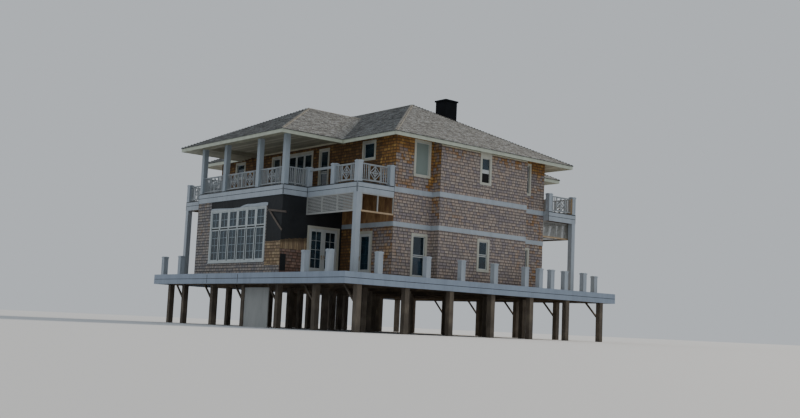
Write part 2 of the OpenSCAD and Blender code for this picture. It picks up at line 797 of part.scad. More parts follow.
module upper_columns() {
    color(white) for (sx = [-1, 1], y = [-column_end, -column_in, column_in, column_end])
        translate([sx * column_x - column_w / 2, y - column_w / 2, upper_top])
            cube([column_w, column_w, wall_h - porch_beam_h]);
}

// Beams on the porch columns: one along each wing's end and one on each side
module porch_beams() {
    end_y = column_end + column_w / 2;
    side_l = column_x - beam_w / 2 - board_joint - core_x;
    color(white) for (sx = [-1, 1]) scale([sx, 1, 1]) translate([0, 0, ceiling_z - porch_beam_h]) {
        translate([column_x - beam_w / 2, -end_y, 0]) cube([beam_w, 2 * end_y, porch_beam_h]);
        for (sy = [-1, 1])
            translate([core_x, sy * column_end - beam_w / 2, 0]) cube([side_l, beam_w, porch_beam_h]);
    }
}

// A railing along +X from the origin, in panels with a lattice in each middle
module railing(length, panels = 1) {
    for (z = [rail_gap, rail_h - rail_t]) translate([0, -rail_w / 2, z]) cube([length, rail_w, rail_t]);
    if (panels == 0) balusters(0, length);
    else {
        panel = length / panels;
        side = (panel - lattice_side) / 2;
        for (i = [0:panels - 1]) {
            balusters(i * panel, side);
            balusters((i + 1) * panel - side, side);
            translate([i * panel + panel / 2, 0, (rail_gap + rail_h) / 2]) lattice();
        }
        for (i = [1:1:panels - 1]) translate([i * panel - rail_w / 2, -rail_w / 2, rail_gap + rail_t / 2])
            cube([rail_w, rail_w, rail_h - rail_gap - rail_t]);
    }
}

// Evenly spaced balusters over a length along +X, let into both rails
module balusters(from, length) {
    n = floor(length / baluster_pitch);
    step = length / n;
    b = baluster_w;
    for (i = [0:n - 1]) translate([from + (i + 0.5) * step - b / 2, -b / 2, rail_gap + rail_t / 2])
        cube([b, b, rail_h - rail_gap - rail_t]);
}

// Two diamonds on a cross in a frame, the pattern in the middle of a railing
module lattice() {
    w = lattice_side / 2;
    h = (rail_h - rail_gap - rail_t) / 2;
    hx = w - baluster_w;
    hz = h - rail_t / 2 - baluster_w;
    b = baluster_w / 2;
    bx = b / hx;
    bz = b / hz;
    e = b * sqrt(1 / (hx * hx) + 1 / (hz * hz));
    k = inner_diamond;
    translate([0, b, 0]) rotate([90, 0, 0]) linear_extrude(baluster_w) difference() {
        translate([-w, -h]) square([2 * w, 2 * h]);
        for (sx = [-1, 1], sz = [-1, 1]) scale([sx, sz]) {
            polygon([[hx, hz * e], [hx, hz], [hx * e, hz]]);
            polygon([[b, hz * (1 - e - bx)], [b, hz * (k + e - bx)],
                [hx * (k + e - bz), b], [hx * (1 - e - bz), b]]);
            polygon([[b, b], [hx * (k - e - bz), b], [b, hz * (k - e - bx)]]);
        }
    }
}

// Railings of one balcony corner, drawn for the corner at +X and +Y
module corner_railings(missing) {
    in = column_set + newel_w / 2;
    from = core_x + newel_cap_out + newel_w;
    y0 = column_end + newel_w / 2;
    gap = newel_mid - newel_w / 2 - y0;
    translate([from, half_y - in, 0]) railing(half_x - column_set - newel_w - from);
    translate([half_x - in, 0, 0]) rotate([0, 0, 90]) {
        translate([newel_mid + newel_w / 2, 0, 0]) railing(half_y - column_set - newel_w * 1.5 - newel_mid);
        if (!missing) translate([y0, 0, 0]) railing(gap);
        if (missing) translate([y0, -guard_t / 2, rail_h - guard_h]) cube([gap, guard_t, guard_h]);
    }
    x0 = half_x - column_set;
    translate([x0, column_end, 0]) railing(column_x - column_w / 2 - x0, 0);
}

// Railings between the columns of a wing's porch, drawn for the wing at +X
module wing_railings() {
    translate([column_x, 0, 0]) rotate([0, 0, 90]) {
        translate([-column_in + column_w / 2, 0, 0]) railing(2 * column_in - column_w, 2);
        for (sy = [-1, 1]) scale([sy, 1, 1]) translate([column_in + column_w / 2, 0, 0])
            railing(column_end - column_in - column_w);
    }
}

module railings() {
    color(white) translate([0, 0, upper_top]) for (sx = [-1, 1]) scale([sx, 1, 1]) {
        for (sy = [-1, 1]) scale([1, sy, 1]) corner_railings(sx < 0 && sy < 0);
        wing_railings();
    }
}

module balcony_newels() {
    in = column_set + newel_w / 2;
    color(white) for (sx = [-1, 1], sy = [-1, 1]) {
        newel(sx * (half_x - in), sy * (half_y - in), upper_top);
        newel(sx * (core_x + newel_cap_out + newel_w / 2), sy * (half_y - in), upper_top);
        newel(sx * (half_x - in), sy * newel_mid, upper_top);
        newel(sx * (half_x - in), sy * column_end, upper_top);
    }
}

// The ceiling: a slab over the core and one over the porch of each wing
module ceiling() {
    from = ceiling_x + board_joint;
    color("#c9c6bd") {
        middle_slab(ceiling_x, ceiling_y, ceiling_z, ceiling_t);
        for (sx = [-1, 1]) scale([sx, 1, 1]) translate([from, -wing_y - plate_out, ceiling_z])
            cube([wing_x + plate_out - from, 2 * (wing_y + plate_out), ceiling_t]);
    }
}

// What is taken out of both roofs: the attic and the notch for the ceiling
module attic() {
    hip_under(eave_core_x, eave_core_y);
    hip_under(eave_wing_x, eave_wing_y);
    z = ceiling_z - roof_base;
    middle_slab(ceiling_x, ceiling_y, z, ceiling_t);
    middle_slab(wing_x + plate_out, wing_y + plate_out, z, ceiling_t);
}

module eave_boards() {
    color(white) cross_ring(eave_core_x, eave_core_y, eave_wing_x, eave_wing_y, roof_base, eave_h, eave_t);
}

module main_roof() {
    color(roofing) translate([0, 0, roof_base]) difference() {
        hip_roof(eave_core_x, eave_core_y);
        attic();
        translate([chimney_at_x - chimney_gap, chimney_y0 - chimney_gap, 0])
            cube([chimney_x + 2 * chimney_gap, chimney_y + 2 * chimney_gap, ridge_z]);
    }
}

module wing_roofs() {
    color(roofing) translate([0, 0, roof_base]) difference() {
        hip_roof(eave_wing_x, eave_wing_y);
        attic();
        hip_roof(eave_core_x, eave_core_y);
    }
}

// The chimney's chase, which stands on the ceiling
module chimney() {
    foot = ceiling_z + ceiling_t;
    color("#26272a") translate([chimney_at_x, chimney_y0, foot])
        cube([chimney_x, chimney_y, ridge_z + chimney_rise - foot]);
}

module chimney_cap() {
    out = chimney_cap_out;
    color("#1d1e20") translate([chimney_at_x - out, chimney_y0 - out, ridge_z + chimney_rise])
        cube([chimney_x + 2 * out, chimney_y + 2 * out, chimney_cap_t]);
}

// Width of one unit of the window wall, and where a unit starts
unit_w = unit - mullion_w;
function unit_at(i) = -big_w / 2 + jamb_t + i * unit;

// The wing's window wall: casing, sill, and a lower and an upper frame a unit
module window_wall_frames() {
    low = big_sill + jamb_t;
    high = big_head - jamb_t;
    top = transom_z + strip_h;
    color(white) for (side = [LEFT, RIGHT]) {
        window_frame(side, wing_x, deck_top, big_opening[0]);
        facing(side, wing_x) translate([0, 0, deck_top]) {
            translate([-big_w / 2 - casing_w, -sill_out, big_sill - casing_w])
                cube([big_w + 2 * casing_w, sill_out, jamb_t]);
            for (i = [0:big_units - 1]) {
                flat_frame(unit_at(i), unit_at(i) + unit_w, low, transom_z, sash_w, 0, jamb_d);
                flat_frame(unit_at(i), unit_at(i) + unit_w, top, high, sash_w, 0, jamb_d);
            }
            for (i = [1:big_units - 1]) translate([unit_at(i) - mullion_w, 0, transom_z - jamb_t])
                cube([mullion_w, post_set, high - transom_z + jamb_t]);
        }
    }
}

// Dark posts between the units and a dark strip over the lower ones, set back
module window_wall_posts() {
    depth = jamb_d - post_set;
    color("#1b1d20") for (side = [LEFT, RIGHT]) facing(side, wing_x) translate([0, post_set, deck_top]) {
        translate([unit_at(0), 0, transom_z]) cube([big_w - 2 * jamb_t, depth, strip_h]);
        for (i = [1:big_units - 1]) translate([unit_at(i) - mullion_w, 0, big_sill + jamb_t])
            cube([mullion_w, depth, big_head - big_sill - 2 * jamb_t]);
    }
}

module window_wall_glass() {
    color(glass_colour) for (side = [LEFT, RIGHT]) facing(side, wing_x)
        for (i = [0:big_units - 1], row = [0, 1]) {
            z0 = row == 0 ? big_sill + jamb_t : transom_z + strip_h;
            z1 = row == 0 ? transom_z : big_head - jamb_t;
            translate([unit_at(i) + sash_w, big_pane_set, deck_top + z0 + sash_w])
                cube([unit_w - 2 * sash_w, pane_t, z1 - z0 - 2 * sash_w]);
        }
}

// Calls its child once for each plain window of a storey
module all_frames() {
    for (o = front_lower) window_frame(FRONT, front_face(o[0]), deck_top, o);
    for (o = back_lower) window_frame(BACK, half_y, deck_top, o);
    for (o = front_upper) window_frame(FRONT, front_face(o[0]), upper_top, o);
    for (o = back_upper) window_frame(BACK, half_y, upper_top, o);
    for (side = [LEFT, RIGHT], o = side_upper) window_frame(side, core_x, upper_top, o);
    for (o = porch_lower) {
        window_frame(LEFT, core_x, deck_top, [-o[0], o[1], o[2], o[3]]);
        window_frame(RIGHT, core_x, deck_top, [-o[0], o[1], o[2], o[3]]);
        window_frame(RIGHT, core_x, deck_top, o);
    }
    for (o = wing_side_lower) {
        window_frame(BACK, wing_y, deck_top, [french_mid, o[1], o[2], o[3]]);
        window_frame(BACK, wing_y, deck_top, [-french_mid, o[1], o[2], o[3]]);
        window_frame(FRONT, wing_y, deck_top, [french_mid, o[1], o[2], o[3]]);
    }
}

// How far out the front wall stands at a place along it
function front_face(x) =
    abs(x) < bay_half ? half_y + bay_out : (x < 0 ? half_y : half_y - front_setback);

// The blank board over the bay's upper window, up to the slope of the eaves
module head_board(o) {
    z = o[3] + casing_w;
    under_roof() translate([o[0] - o[1] / 2 - casing_w, -half_y - bay_out - casing_out, upper_top + z])
        cube([o[1] + 2 * casing_w, casing_out, wall_h - z]);
}

module window_frames() {
    color(white) {
        all_frames();
        head_board(front_upper[1]);
    }
}

module window_glass_lower() {
    color(glass_colour) {
        for (o = front_lower) window_pane(FRONT, front_face(o[0]), deck_top, o);
        for (o = back_lower) window_pane(BACK, half_y, deck_top, o);
        for (o = porch_lower) {
            window_pane(LEFT, core_x, deck_top, [-o[0], o[1], o[2], o[3]]);
            window_pane(RIGHT, core_x, deck_top, [-o[0], o[1], o[2], o[3]]);
            window_pane(RIGHT, core_x, deck_top, o);
        }
        for (o = wing_side_lower) {
            window_pane(BACK, wing_y, deck_top, [french_mid, o[1], o[2], o[3]]);
            window_pane(BACK, wing_y, deck_top, [-french_mid, o[1], o[2], o[3]]);
            window_pane(FRONT, wing_y, deck_top, [french_mid, o[1], o[2], o[3]]);
        }
    }
}

module window_glass_upper() {
    color(glass_colour) {
        for (o = front_upper) window_pane(FRONT, front_face(o[0]), upper_top, o);
        for (o = back_upper) window_pane(BACK, half_y, upper_top, o);
        for (side = [LEFT, RIGHT], o = side_upper) window_pane(side, core_x, upper_top, o);
    }
}

// Casing and jamb of a doorway, open at the floor, x measured along the wall
module door_frame(side, face, x, w, h) {
    reveal = 15;
    facing(side, face) translate([x - w / 2, 0, deck_top]) difference() {
        union() {
            translate([-casing_w, -casing_out, 0]) cube([w + 2 * casing_w, casing_out, h + casing_w]);
            cube([w, jamb_d, h]);
        }
        translate([jamb_t, -casing_out - sliver, -sliver])
            cube([w - 2 * jamb_t, casing_out + jamb_d + 2 * sliver, h - jamb_t + sliver]);
        translate([jamb_t - reveal, -casing_out - sliver, -sliver])
            cube([w - 2 * jamb_t + 2 * reveal, casing_out + sliver, h - jamb_t + reveal + sliver]);
    }
}

module door_frames() {
    color(white) {
        door_frame(FRONT, wing_y, -french_mid, french_w, french_h);
        door_frame(LEFT, core_x, corner_window_at, side_door_w, side_door_h);
    }
}

// A glazed leaf from its hinge edge along +X, its outer face at y = 0
module door_leaf(w, h) {
    difference() {
        cube([w, leaf_t, h]);
        translate([stile_w, -sliver, bottom_rail_h])
            cube([w - 2 * stile_w, leaf_t + 2 * sliver, h - bottom_rail_h - stile_w]);
    }
    for (z = [hinge_from_end, h / 2, h - hinge_from_end]) translate([0, 0, z - knuckle_l / 2]) {
        translate([0, -hinge_set, 0]) cylinder(h = knuckle_l, r = knuckle_r, $fn = 24);
        translate([0, -hinge_plate, 0]) cube([hinge_plate_w, hinge_plate, knuckle_l]);
    }
}

module leaf_glass(w, h) {
    translate([stile_w, (leaf_t - pane_t) / 2, bottom_rail_h])
        cube([w - 2 * stile_w, pane_t, h - bottom_rail_h - stile_w]);
}

module at_french_left() {
    facing(FRONT, wing_y)
        translate([-french_mid - french_w / 2 + jamb_t + door_gap, 0, deck_top + leaf_lift]) children();
}

module at_french_right() {
    facing(FRONT, wing_y)
        translate([-french_mid + french_w / 2 - jamb_t - door_gap, 0, deck_top + leaf_lift])
            mirror([1, 0, 0]) children();
}

module at_side_door() {
    facing(LEFT, core_x)
        translate([corner_window_at + side_door_w / 2 - jamb_t - door_gap, 0, deck_top + leaf_lift])
            mirror([1, 0, 0]) children();
}

module french_door_left() {
    color(white) at_french_left() door_leaf(french_leaf_w, french_leaf_h);
}

module french_glass_left() {
    color(glass_colour) at_french_left() leaf_glass(french_leaf_w, french_leaf_h);
}

module french_door_right() {
    color(white) at_french_right() door_leaf(french_leaf_w, french_leaf_h);
}

module french_glass_right() {
    color(glass_colour) at_french_right() leaf_glass(french_leaf_w, french_leaf_h);
}

module side_door() {
    color(white) at_side_door() door_leaf(side_leaf_w, side_leaf_h);
}

module side_door_glass() {
    color(glass_colour) at_side_door() leaf_glass(side_leaf_w, side_leaf_h);
}

piles();
girders();
knee_braces();
joists();
main_floor();
deck_edge();
deck_newels();
breakaway_panel();
front_walls_lower();
front_bay_lower();
bay_cheeks();
back_wall_lower();
porch_side_walls();
side_door_wall();
french_door_wall();
door_lintels();
wing_end_walls();
wing_side_walls();
front_walls_upper();
front_bay_upper();
back_wall_upper();
side_walls_upper();
upper_floor();
balcony_beams();
balcony_edge();
trim_bands();
porch_posts();
porch_louvres();
upper_columns();
porch_beams();
railings();
balcony_newels();
ceiling();
eave_boards();
main_roof();
wing_roofs();
chimney();
chimney_cap();
window_wall_frames();
window_wall_posts();
window_wall_glass();
window_frames();
window_glass_lower();
window_glass_upper();
door_frames();
french_door_left();
french_glass_left();
french_door_right();
french_glass_right();
side_door();
side_door_glass();
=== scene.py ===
"""Looks of the beach house, laid over its construction model, in metres.

The front faces -Y, the wing with the window wall faces -X and the ground is at z = 0.
Cedar shingles, roof tabs, boards and bars are real geometry, made from a few
modelled units, and every finish is built from nodes.
"""
import math

import bpy
import numpy as np
from mathutils import Matrix, Vector


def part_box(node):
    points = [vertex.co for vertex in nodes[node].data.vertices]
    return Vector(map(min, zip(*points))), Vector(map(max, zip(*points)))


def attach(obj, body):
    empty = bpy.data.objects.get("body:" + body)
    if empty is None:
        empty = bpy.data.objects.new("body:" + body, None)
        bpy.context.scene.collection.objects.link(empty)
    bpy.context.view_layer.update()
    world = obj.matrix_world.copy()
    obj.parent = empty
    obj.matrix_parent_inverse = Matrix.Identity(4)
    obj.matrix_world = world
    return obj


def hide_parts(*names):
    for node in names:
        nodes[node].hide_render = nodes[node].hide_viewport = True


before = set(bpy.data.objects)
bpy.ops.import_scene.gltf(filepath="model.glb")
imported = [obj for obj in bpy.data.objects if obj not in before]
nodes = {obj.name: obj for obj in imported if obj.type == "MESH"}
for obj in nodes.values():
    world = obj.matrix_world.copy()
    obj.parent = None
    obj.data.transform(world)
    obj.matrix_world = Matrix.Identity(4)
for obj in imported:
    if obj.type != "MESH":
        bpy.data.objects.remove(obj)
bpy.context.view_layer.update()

# Camera, fitted to the photograph: focal length in pixels, place, and turn in degrees
IMAGE_WIDTH = 800
FOCAL_PIXELS = 1028.94
CAMERA_PLACE = (-40.759, -50.356, 0.356)
CAMERA_YAW = 40.26
CAMERA_PITCH = 6.544
CAMERA_ROLL = 2.580

# Wall shingles: height of a course, widths, thickness of the butt with its spread, and gap between two
COURSE = 0.166
SHINGLE_WIDTHS = (0.12, 0.36)
SHINGLE_BUTT = 0.016
BUTT_SPREAD = (0.8, 1.3)
SHINGLE_GAP = 0.005
# How far their heads go under the next course, and how uneven their feet are
TUCK = 0.012
UNEVEN = 0.004
# Slivers lower or narrower than this are left out, and none starts so near the end of a run
LEAST_HEIGHT = 0.015
LEAST_WIDTH = 0.01
LAST_START = 0.02

# Roof tabs: height of a course, widths, thickness with its spread, gap, and lap under the next course
ROOF_COURSE = 0.143
TAB_WIDTHS = (0.14, 0.34)
TAB_T = 0.009
TAB_SPREAD = (0.7, 1.5)
TAB_GAP = 0.003
TAB_LAP = 0.01
LEAST_TAB = 0.02
# Tabs this far under the other roof's slope are hidden by it
TAB_COVER = 0.12
# Rise of the roofs for each metre of run, and height of their tabs over the eave boards
PITCH = 0.5
ROOF_SKIN = 0.03
# Caps of hips and ridges: width, distance between two, how far each laps, lift, and place of the first one
CAP_W = 0.21
CAP_STEP = 0.20
CAP_LAP = 1.12
CAP_LIFT = 0.02
CAP_SET = 0.12

# Boards: widths on the deck, soffits and porch walls, gaps beside and at the ends, and eased edge
DECK_BOARD = 0.14
SOFFIT_BOARD = 0.135
PLANK = 0.19
BOARD_GAP = 0.006
END_GAP = 0.002
PLANK_GAP = 0.003
BEVEL = 0.004
# Length of the longest deck board, and thickness of the boards that are laid flat on a wall
LONGEST_BOARD = 4.88
WALL_BOARD = 0.022
# How far boards stay inside the slab that they cover, and how far the balconies' boards stand over it
CLEAR = 0.01
SIDE_CLEAR = 0.005
BALCONY_BOARD_PROUD = 0.006

# Parts of a unit's own size: thickness of a shingle's head and of a cap's near end, and a cap's fall
HEAD_THICKNESS = 0.28
CAP_BUTT = 0.3
CAP_LEAN = 0.2


# Modelling helpers

def deselect():
    """Leaves edit mode, with nothing selected."""
    if bpy.context.mode != "OBJECT":
        bpy.ops.object.mode_set(mode="OBJECT")
    bpy.ops.object.select_all(action="DESELECT")


def pick(mode, test):
    """Selects the faces, edges or corners of the active mesh that pass a test, and enters edit mode."""
    bpy.ops.object.mode_set(mode="EDIT")
    bpy.ops.mesh.select_mode(type=mode)
    bpy.ops.mesh.select_all(action="DESELECT")
    bpy.ops.object.mode_set(mode="OBJECT")
    mesh = bpy.context.active_object.data
    parts = {"VERT": mesh.vertices, "EDGE": mesh.edges, "FACE": mesh.polygons}[mode]
    for part in parts:
        part.select = test(part)
    bpy.ops.object.mode_set(mode="EDIT")


def corners_of(obj):
    """Corners and faces of a modelled unit, which is then removed."""
    bpy.ops.object.mode_set(mode="OBJECT")
    mesh = obj.data
    points = np.array([v.co[:] for v in mesh.vertices])
    faces = [list(p.vertices) for p in mesh.polygons]
    bpy.data.objects.remove(obj)
    return points, faces


def shingle_unit():
    """A split shingle: thick at its butt, thin at its head, open at the back and under the next course."""
    deselect()
    bpy.ops.mesh.primitive_cube_add(size=1, location=(0.5, 0.5, 0.5))
    bpy.ops.object.transform_apply(location=True, rotation=False, scale=False)
    obj = bpy.context.active_object
    pick("VERT", lambda v: v.co.y > 0.5 and v.co.z > 0.5)
    bpy.ops.transform.translate(value=(0, HEAD_THICKNESS - 1, 0))
    pick("FACE", lambda f: f.normal.y < -0.9 or (f.normal.z > 0.5 and f.center.z > 0.9))
    bpy.ops.mesh.delete(type="FACE")
    return corners_of(obj)


def board_unit():
    """A planed board with its arrises eased."""
    deselect()
    bpy.ops.mesh.primitive_cube_add(size=2)
    obj = bpy.context.active_object
    pick("EDGE", lambda e: True)
    bpy.ops.mesh.bevel(offset=BEVEL, segments=1)
    return corners_of(obj)


def cap_unit():
    """A roof cap folded over a ridge, along +Y, thick at its near end."""
    deselect()
    bpy.ops.mesh.primitive_grid_add(x_subdivisions=2, y_subdivisions=1, size=1)
    obj = bpy.context.active_object
    pick("VERT", lambda v: abs(v.co.x) > 0.3)
    bpy.ops.transform.translate(value=(0, 0, -1))
    pick("EDGE", lambda e: all(obj.data.vertices[i].co.y < -0.4 for i in e.vertices))
    bpy.ops.mesh.extrude_region_move(TRANSFORM_OT_translate={"value": (0, 0, -CAP_BUTT)})
    pick("VERT", lambda v: v.co.y > 0.4)
    bpy.ops.transform.translate(value=(0, 0, -CAP_LEAN))
    return corners_of(obj)


def finished(name, points, faces, material, attributes, body="house"):
    """A mesh object from corners and faces, with its material, body and values for each corner."""
    mesh = bpy.data.meshes.new(name)
    mesh.from_pydata(points.tolist(), [], faces)
    for key, values in attributes.items():
        layer = mesh.attributes.new(key, "FLOAT", "POINT")
        layer.data.foreach_set("value", np.asarray(values, np.float32))
    mesh.update()
    obj = bpy.data.objects.new(name, mesh)
    bpy.context.scene.collection.objects.link(obj)
    mesh.materials.append(material)
    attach(obj, body)
    return obj


def repeat_faces(faces, corners, copies):
    """Faces of several copies of a unit, whose corners follow one another."""
    return [[i + k * corners for i in face] for k in range(copies) for face in faces]


def laid(name, unit, origins, across, up, out, material, slot, rng, values=None):
    """One mesh of many copies of a unit, each with its own corner and three edges.

    Each copy carries a random shade, its corners' places along and across it, and its own values.
    """
    points, faces = unit
    origins, across, up, out = (np.asarray(a, float) for a in (origins, across, up, out))
    spread = (origins[:, None] + points[None, :, 0:1] * across[:, None]
              + points[None, :, 1:2] * out[:, None] + points[None, :, 2:3] * up[:, None])
    n, m = len(origins), len(points)
    attributes = {"shade": np.repeat(rng.uniform(0, 1, n), m), "along": np.tile(points[:, 2], n),
                  "side": np.tile(points[:, 0], n)}
    for key, value in (values or {}).items():
        attributes[key] = np.repeat(value, m)
    return finished(name, spread.reshape(-1, 3), repeat_faces(faces, m, n), material, attributes)


def boards(name, boxes, material, rng, body="house"):
    """One mesh of many boards; each takes its box while its eased arrises keep their size."""
    points, faces = BOARD
    boxes = np.asarray(boxes, float)
    middle = boxes.mean(axis=1)
    half = (boxes[:, 1] - boxes[:, 0]) / 2
    sign = np.sign(points)
    inset = sign * (1 - np.abs(points))
    spread = middle[:, None] + sign[None] * half[:, None] - inset[None]
    n, m = len(boxes), len(points)
    attributes = {"shade": np.repeat(rng.uniform(0, 1, n), m)}
    return finished(name, spread.reshape(-1, 3), repeat_faces(faces, m, n), material, attributes, body)


def solids(node):
    """Boxes of a node's separate solids, as (lowest corner, highest corner) arrays."""
    mesh = nodes[node].data
    points = np.zeros(len(mesh.vertices) * 3)
    mesh.vertices.foreach_get("co", points)
    points = points.reshape(-1, 3)
    keys, welded = np.unique(points.round(5), axis=0, return_inverse=True)
    welded = welded.ravel()
    parent = list(range(len(keys)))

    def root(i):
        while parent[i] != i:
            parent[i] = parent[parent[i]]
            i = parent[i]
        return i

    for face in mesh.polygons:
        first = root(welded[face.vertices[0]])
        for i in face.vertices[1:]:
            parent[root(welded[i])] = first
    groups = {}
    for i in range(len(keys)):
        groups.setdefault(root(i), []).append(i)
    return [(keys[g].min(axis=0), keys[g].max(axis=0)) for g in groups.values()]


def thin_axis(a, b):
    """The level axis along which a box is thinner."""
    return int(np.argmin((b - a)[:2]))


def upright(axis, u0, u1, z0, z1, front, back):
    """A box by its stretch along a wall, its heights and its depth, as (lowest corner, highest corner)."""
    corner, far = [0, 0, z0], [0, 0, z1]
    corner[1 - axis], far[1 - axis] = u0, u1
    corner[axis], far[axis] = front, back
    return corner, far


# Materials

# Inputs of a Mix node for colours, by number because their names aren't its own, and what makes it one
FACTOR, FIRST, SECOND = 0, 6, 7
BLEND = {"output": 2, "data_type": "RGBA"}
# Noise keeps near its middle, so a ramp's colours start here and are spread over this length
RAMP_START = 0.3
RAMP_LENGTH = 0.4


def linear(code):
    """An sRGB hex colour as linear red, green, blue and alpha."""
    channels = [int(code[i:i + 2], 16) / 255 for i in (1, 3, 5)]
    return [c / 12.92 if c <= 0.04045 else ((c + 0.055) / 1.055) ** 2.4 for c in channels] + [1.0]


def per_metre(millimetres):
    """A texture's scale in Object coordinates for a feature of that real size."""
    return 1000 / millimetres


def add(tree, kind, inputs=None, output=0, stops=(), **settings):
    """Adds a node with its settings, fills or links its inputs, and gives back one of its outputs.

    An input takes a number, a hex colour or a socket. Stops are the hex colours of a ramp.
    """
    node = tree.nodes.new(kind)
    for name, value in settings.items():
        setattr(node, name, value)
    for key, value in (inputs or {}).items():
        if isinstance(value, bpy.types.NodeSocket):
            tree.links.new(value, node.inputs[key])
        else:
            node.inputs[key].default_value = linear(value) if isinstance(value, str) else value
    if stops:
        marks = node.color_ramp.elements
        while len(marks) < len(stops):
            marks.new(0.5)
        for i, code in enumerate(stops):
            marks[i].position = RAMP_START + RAMP_LENGTH * i / (len(stops) - 1)
            marks[i].color = linear(code)
    return node.outputs[output]


def begin(name, roughness, metallic=0.0):
    """A material with its shader, and the Object coordinates that its patterns read."""
    material = bpy.data.materials.new(name)
    material.use_nodes = True
    tree = material.node_tree
    shader = tree.nodes["Principled BSDF"]
    shader.inputs["Roughness"].default_value = roughness
    shader.inputs["Metallic"].default_value = metallic
    place = add(tree, "ShaderNodeTexCoord", output="Object")
    return material, tree, shader, place


def surface(tree, shader, colour, relief, depth, strength=1.0):
    """Gives a shader its colour, and a relief of a real depth in metres."""
    normal = add(tree, "ShaderNodeBump", {"Height": relief, "Distance": depth, "Strength": strength})
    tree.links.new(colour, shader.inputs["Base Color"])
    tree.links.new(normal, shader.inputs["Normal"])


def tinted(tree, colour, tint, value, first, last, most=1.0):
    """Blends a tint into a colour, up to a share of it, as a value goes from first to last."""
    share = add(tree, "ShaderNodeMapRange",
                {"Value": value, "From Min": first, "From Max": last, "To Max": most})
    return add(tree, "ShaderNodeMix", {FACTOR: share, FIRST: colour, SECOND: tint}, **BLEND)


def cedar_material(name, codes, dark_code, sheltered_codes=None, lap_shadow_strength=0.75):
    """Split cedar: own tone per shingle, coarse upright grain, dark joints, and painted shadow under the
    butts above.
    """
    material, tree, shader, place = begin(name, 0.85)
    shade = add(tree, "ShaderNodeAttribute", output="Fac", attribute_name="shade")
    patches = add(tree, "ShaderNodeTexNoise", {"Vector": place, "Scale": per_metre(1500), "Detail": 3.0})
    tone = add(tree, "ShaderNodeMath", {0: shade, 1: 0.7}, operation="MULTIPLY")
    tone = add(tree, "ShaderNodeMath", {0: patches, 1: 0.5, 2: tone}, operation="MULTIPLY_ADD")
    tone = add(tree, "ShaderNodeMath", {0: tone, 1: 0.1}, operation="SUBTRACT")
    colour = add(tree, "ShaderNodeValToRGB", {0: tone}, stops=codes)
    if sheltered_codes:
        # Wood that the eaves keep dry stays orange, shingle by shingle; deep in a porch a painted shade
        # turns it dark brown
        shelter = add(tree, "ShaderNodeAttribute", output="Fac", attribute_name="shelter")
        damp = add(tree, "ShaderNodeTexNoise", {"Vector": place, "Scale": per_metre(900), "Detail": 2.0})
        dry = add(tree, "ShaderNodeMath", {0: shade, 1: 0.5, 2: shelter}, operation="MULTIPLY_ADD")
        dry = add(tree, "ShaderNodeMath", {0: damp, 1: 0.8, 2: dry}, operation="MULTIPLY_ADD")
        dry = add(tree, "ShaderNodeMath", {0: dry, 1: 0.4}, operation="SUBTRACT")
        orange = add(tree, "ShaderNodeValToRGB", {0: shade}, stops=sheltered_codes)
        colour = tinted(tree, colour, orange, dry, 0.5, 0.9)
        # Painted shade deep in a porch: values past 1 darken the wood towards dark brown
        colour = tinted(tree, colour, dark_code, shelter, 1.0, 2.0, 0.9)
    # Grain of a few millimetres, drawn as 16 mm so that it shows
    grain_place = add(tree, "ShaderNodeMapping", {"Vector": place, "Scale": (1.0, 1.0, 0.09)})
    grain = add(tree, "ShaderNodeTexNoise", {"Vector": grain_place, "Scale": per_metre(16), "Detail": 4.0})
    colour = tinted(tree, colour, dark_code, grain, 0.35, 0.7, 0.4)
    # Painted shadow: each shingle darkens towards its head, where the butts of the course above shade it
    along = add(tree, "ShaderNodeAttribute", output="Fac", attribute_name="along")
    lap_shadow = add(tree, "ShaderNodeMapRange",
              {"Value": along, "From Min": 0.5, "From Max": 0.8, "To Max": lap_shadow_strength})
    side = add(tree, "ShaderNodeAttribute", output="Fac", attribute_name="side")
    edge = add(tree, "ShaderNodeMath", {0: side, 1: 0.5}, operation="SUBTRACT")
    edge = add(tree, "ShaderNodeMath", {0: edge}, operation="ABSOLUTE")
    joint = add(tree, "ShaderNodeMapRange",
                {"Value": edge, "From Min": 0.40, "From Max": 0.49, "To Max": 0.85})
    lap_shadow_and_joint = add(tree, "ShaderNodeMath", {0: lap_shadow, 1: joint}, operation="MAXIMUM")
    colour = add(tree, "ShaderNodeMix", {FACTOR: lap_shadow_and_joint, FIRST: colour, SECOND: dark_code}, **BLEND)
    surface(tree, shader, colour, grain, 0.006)
    return material


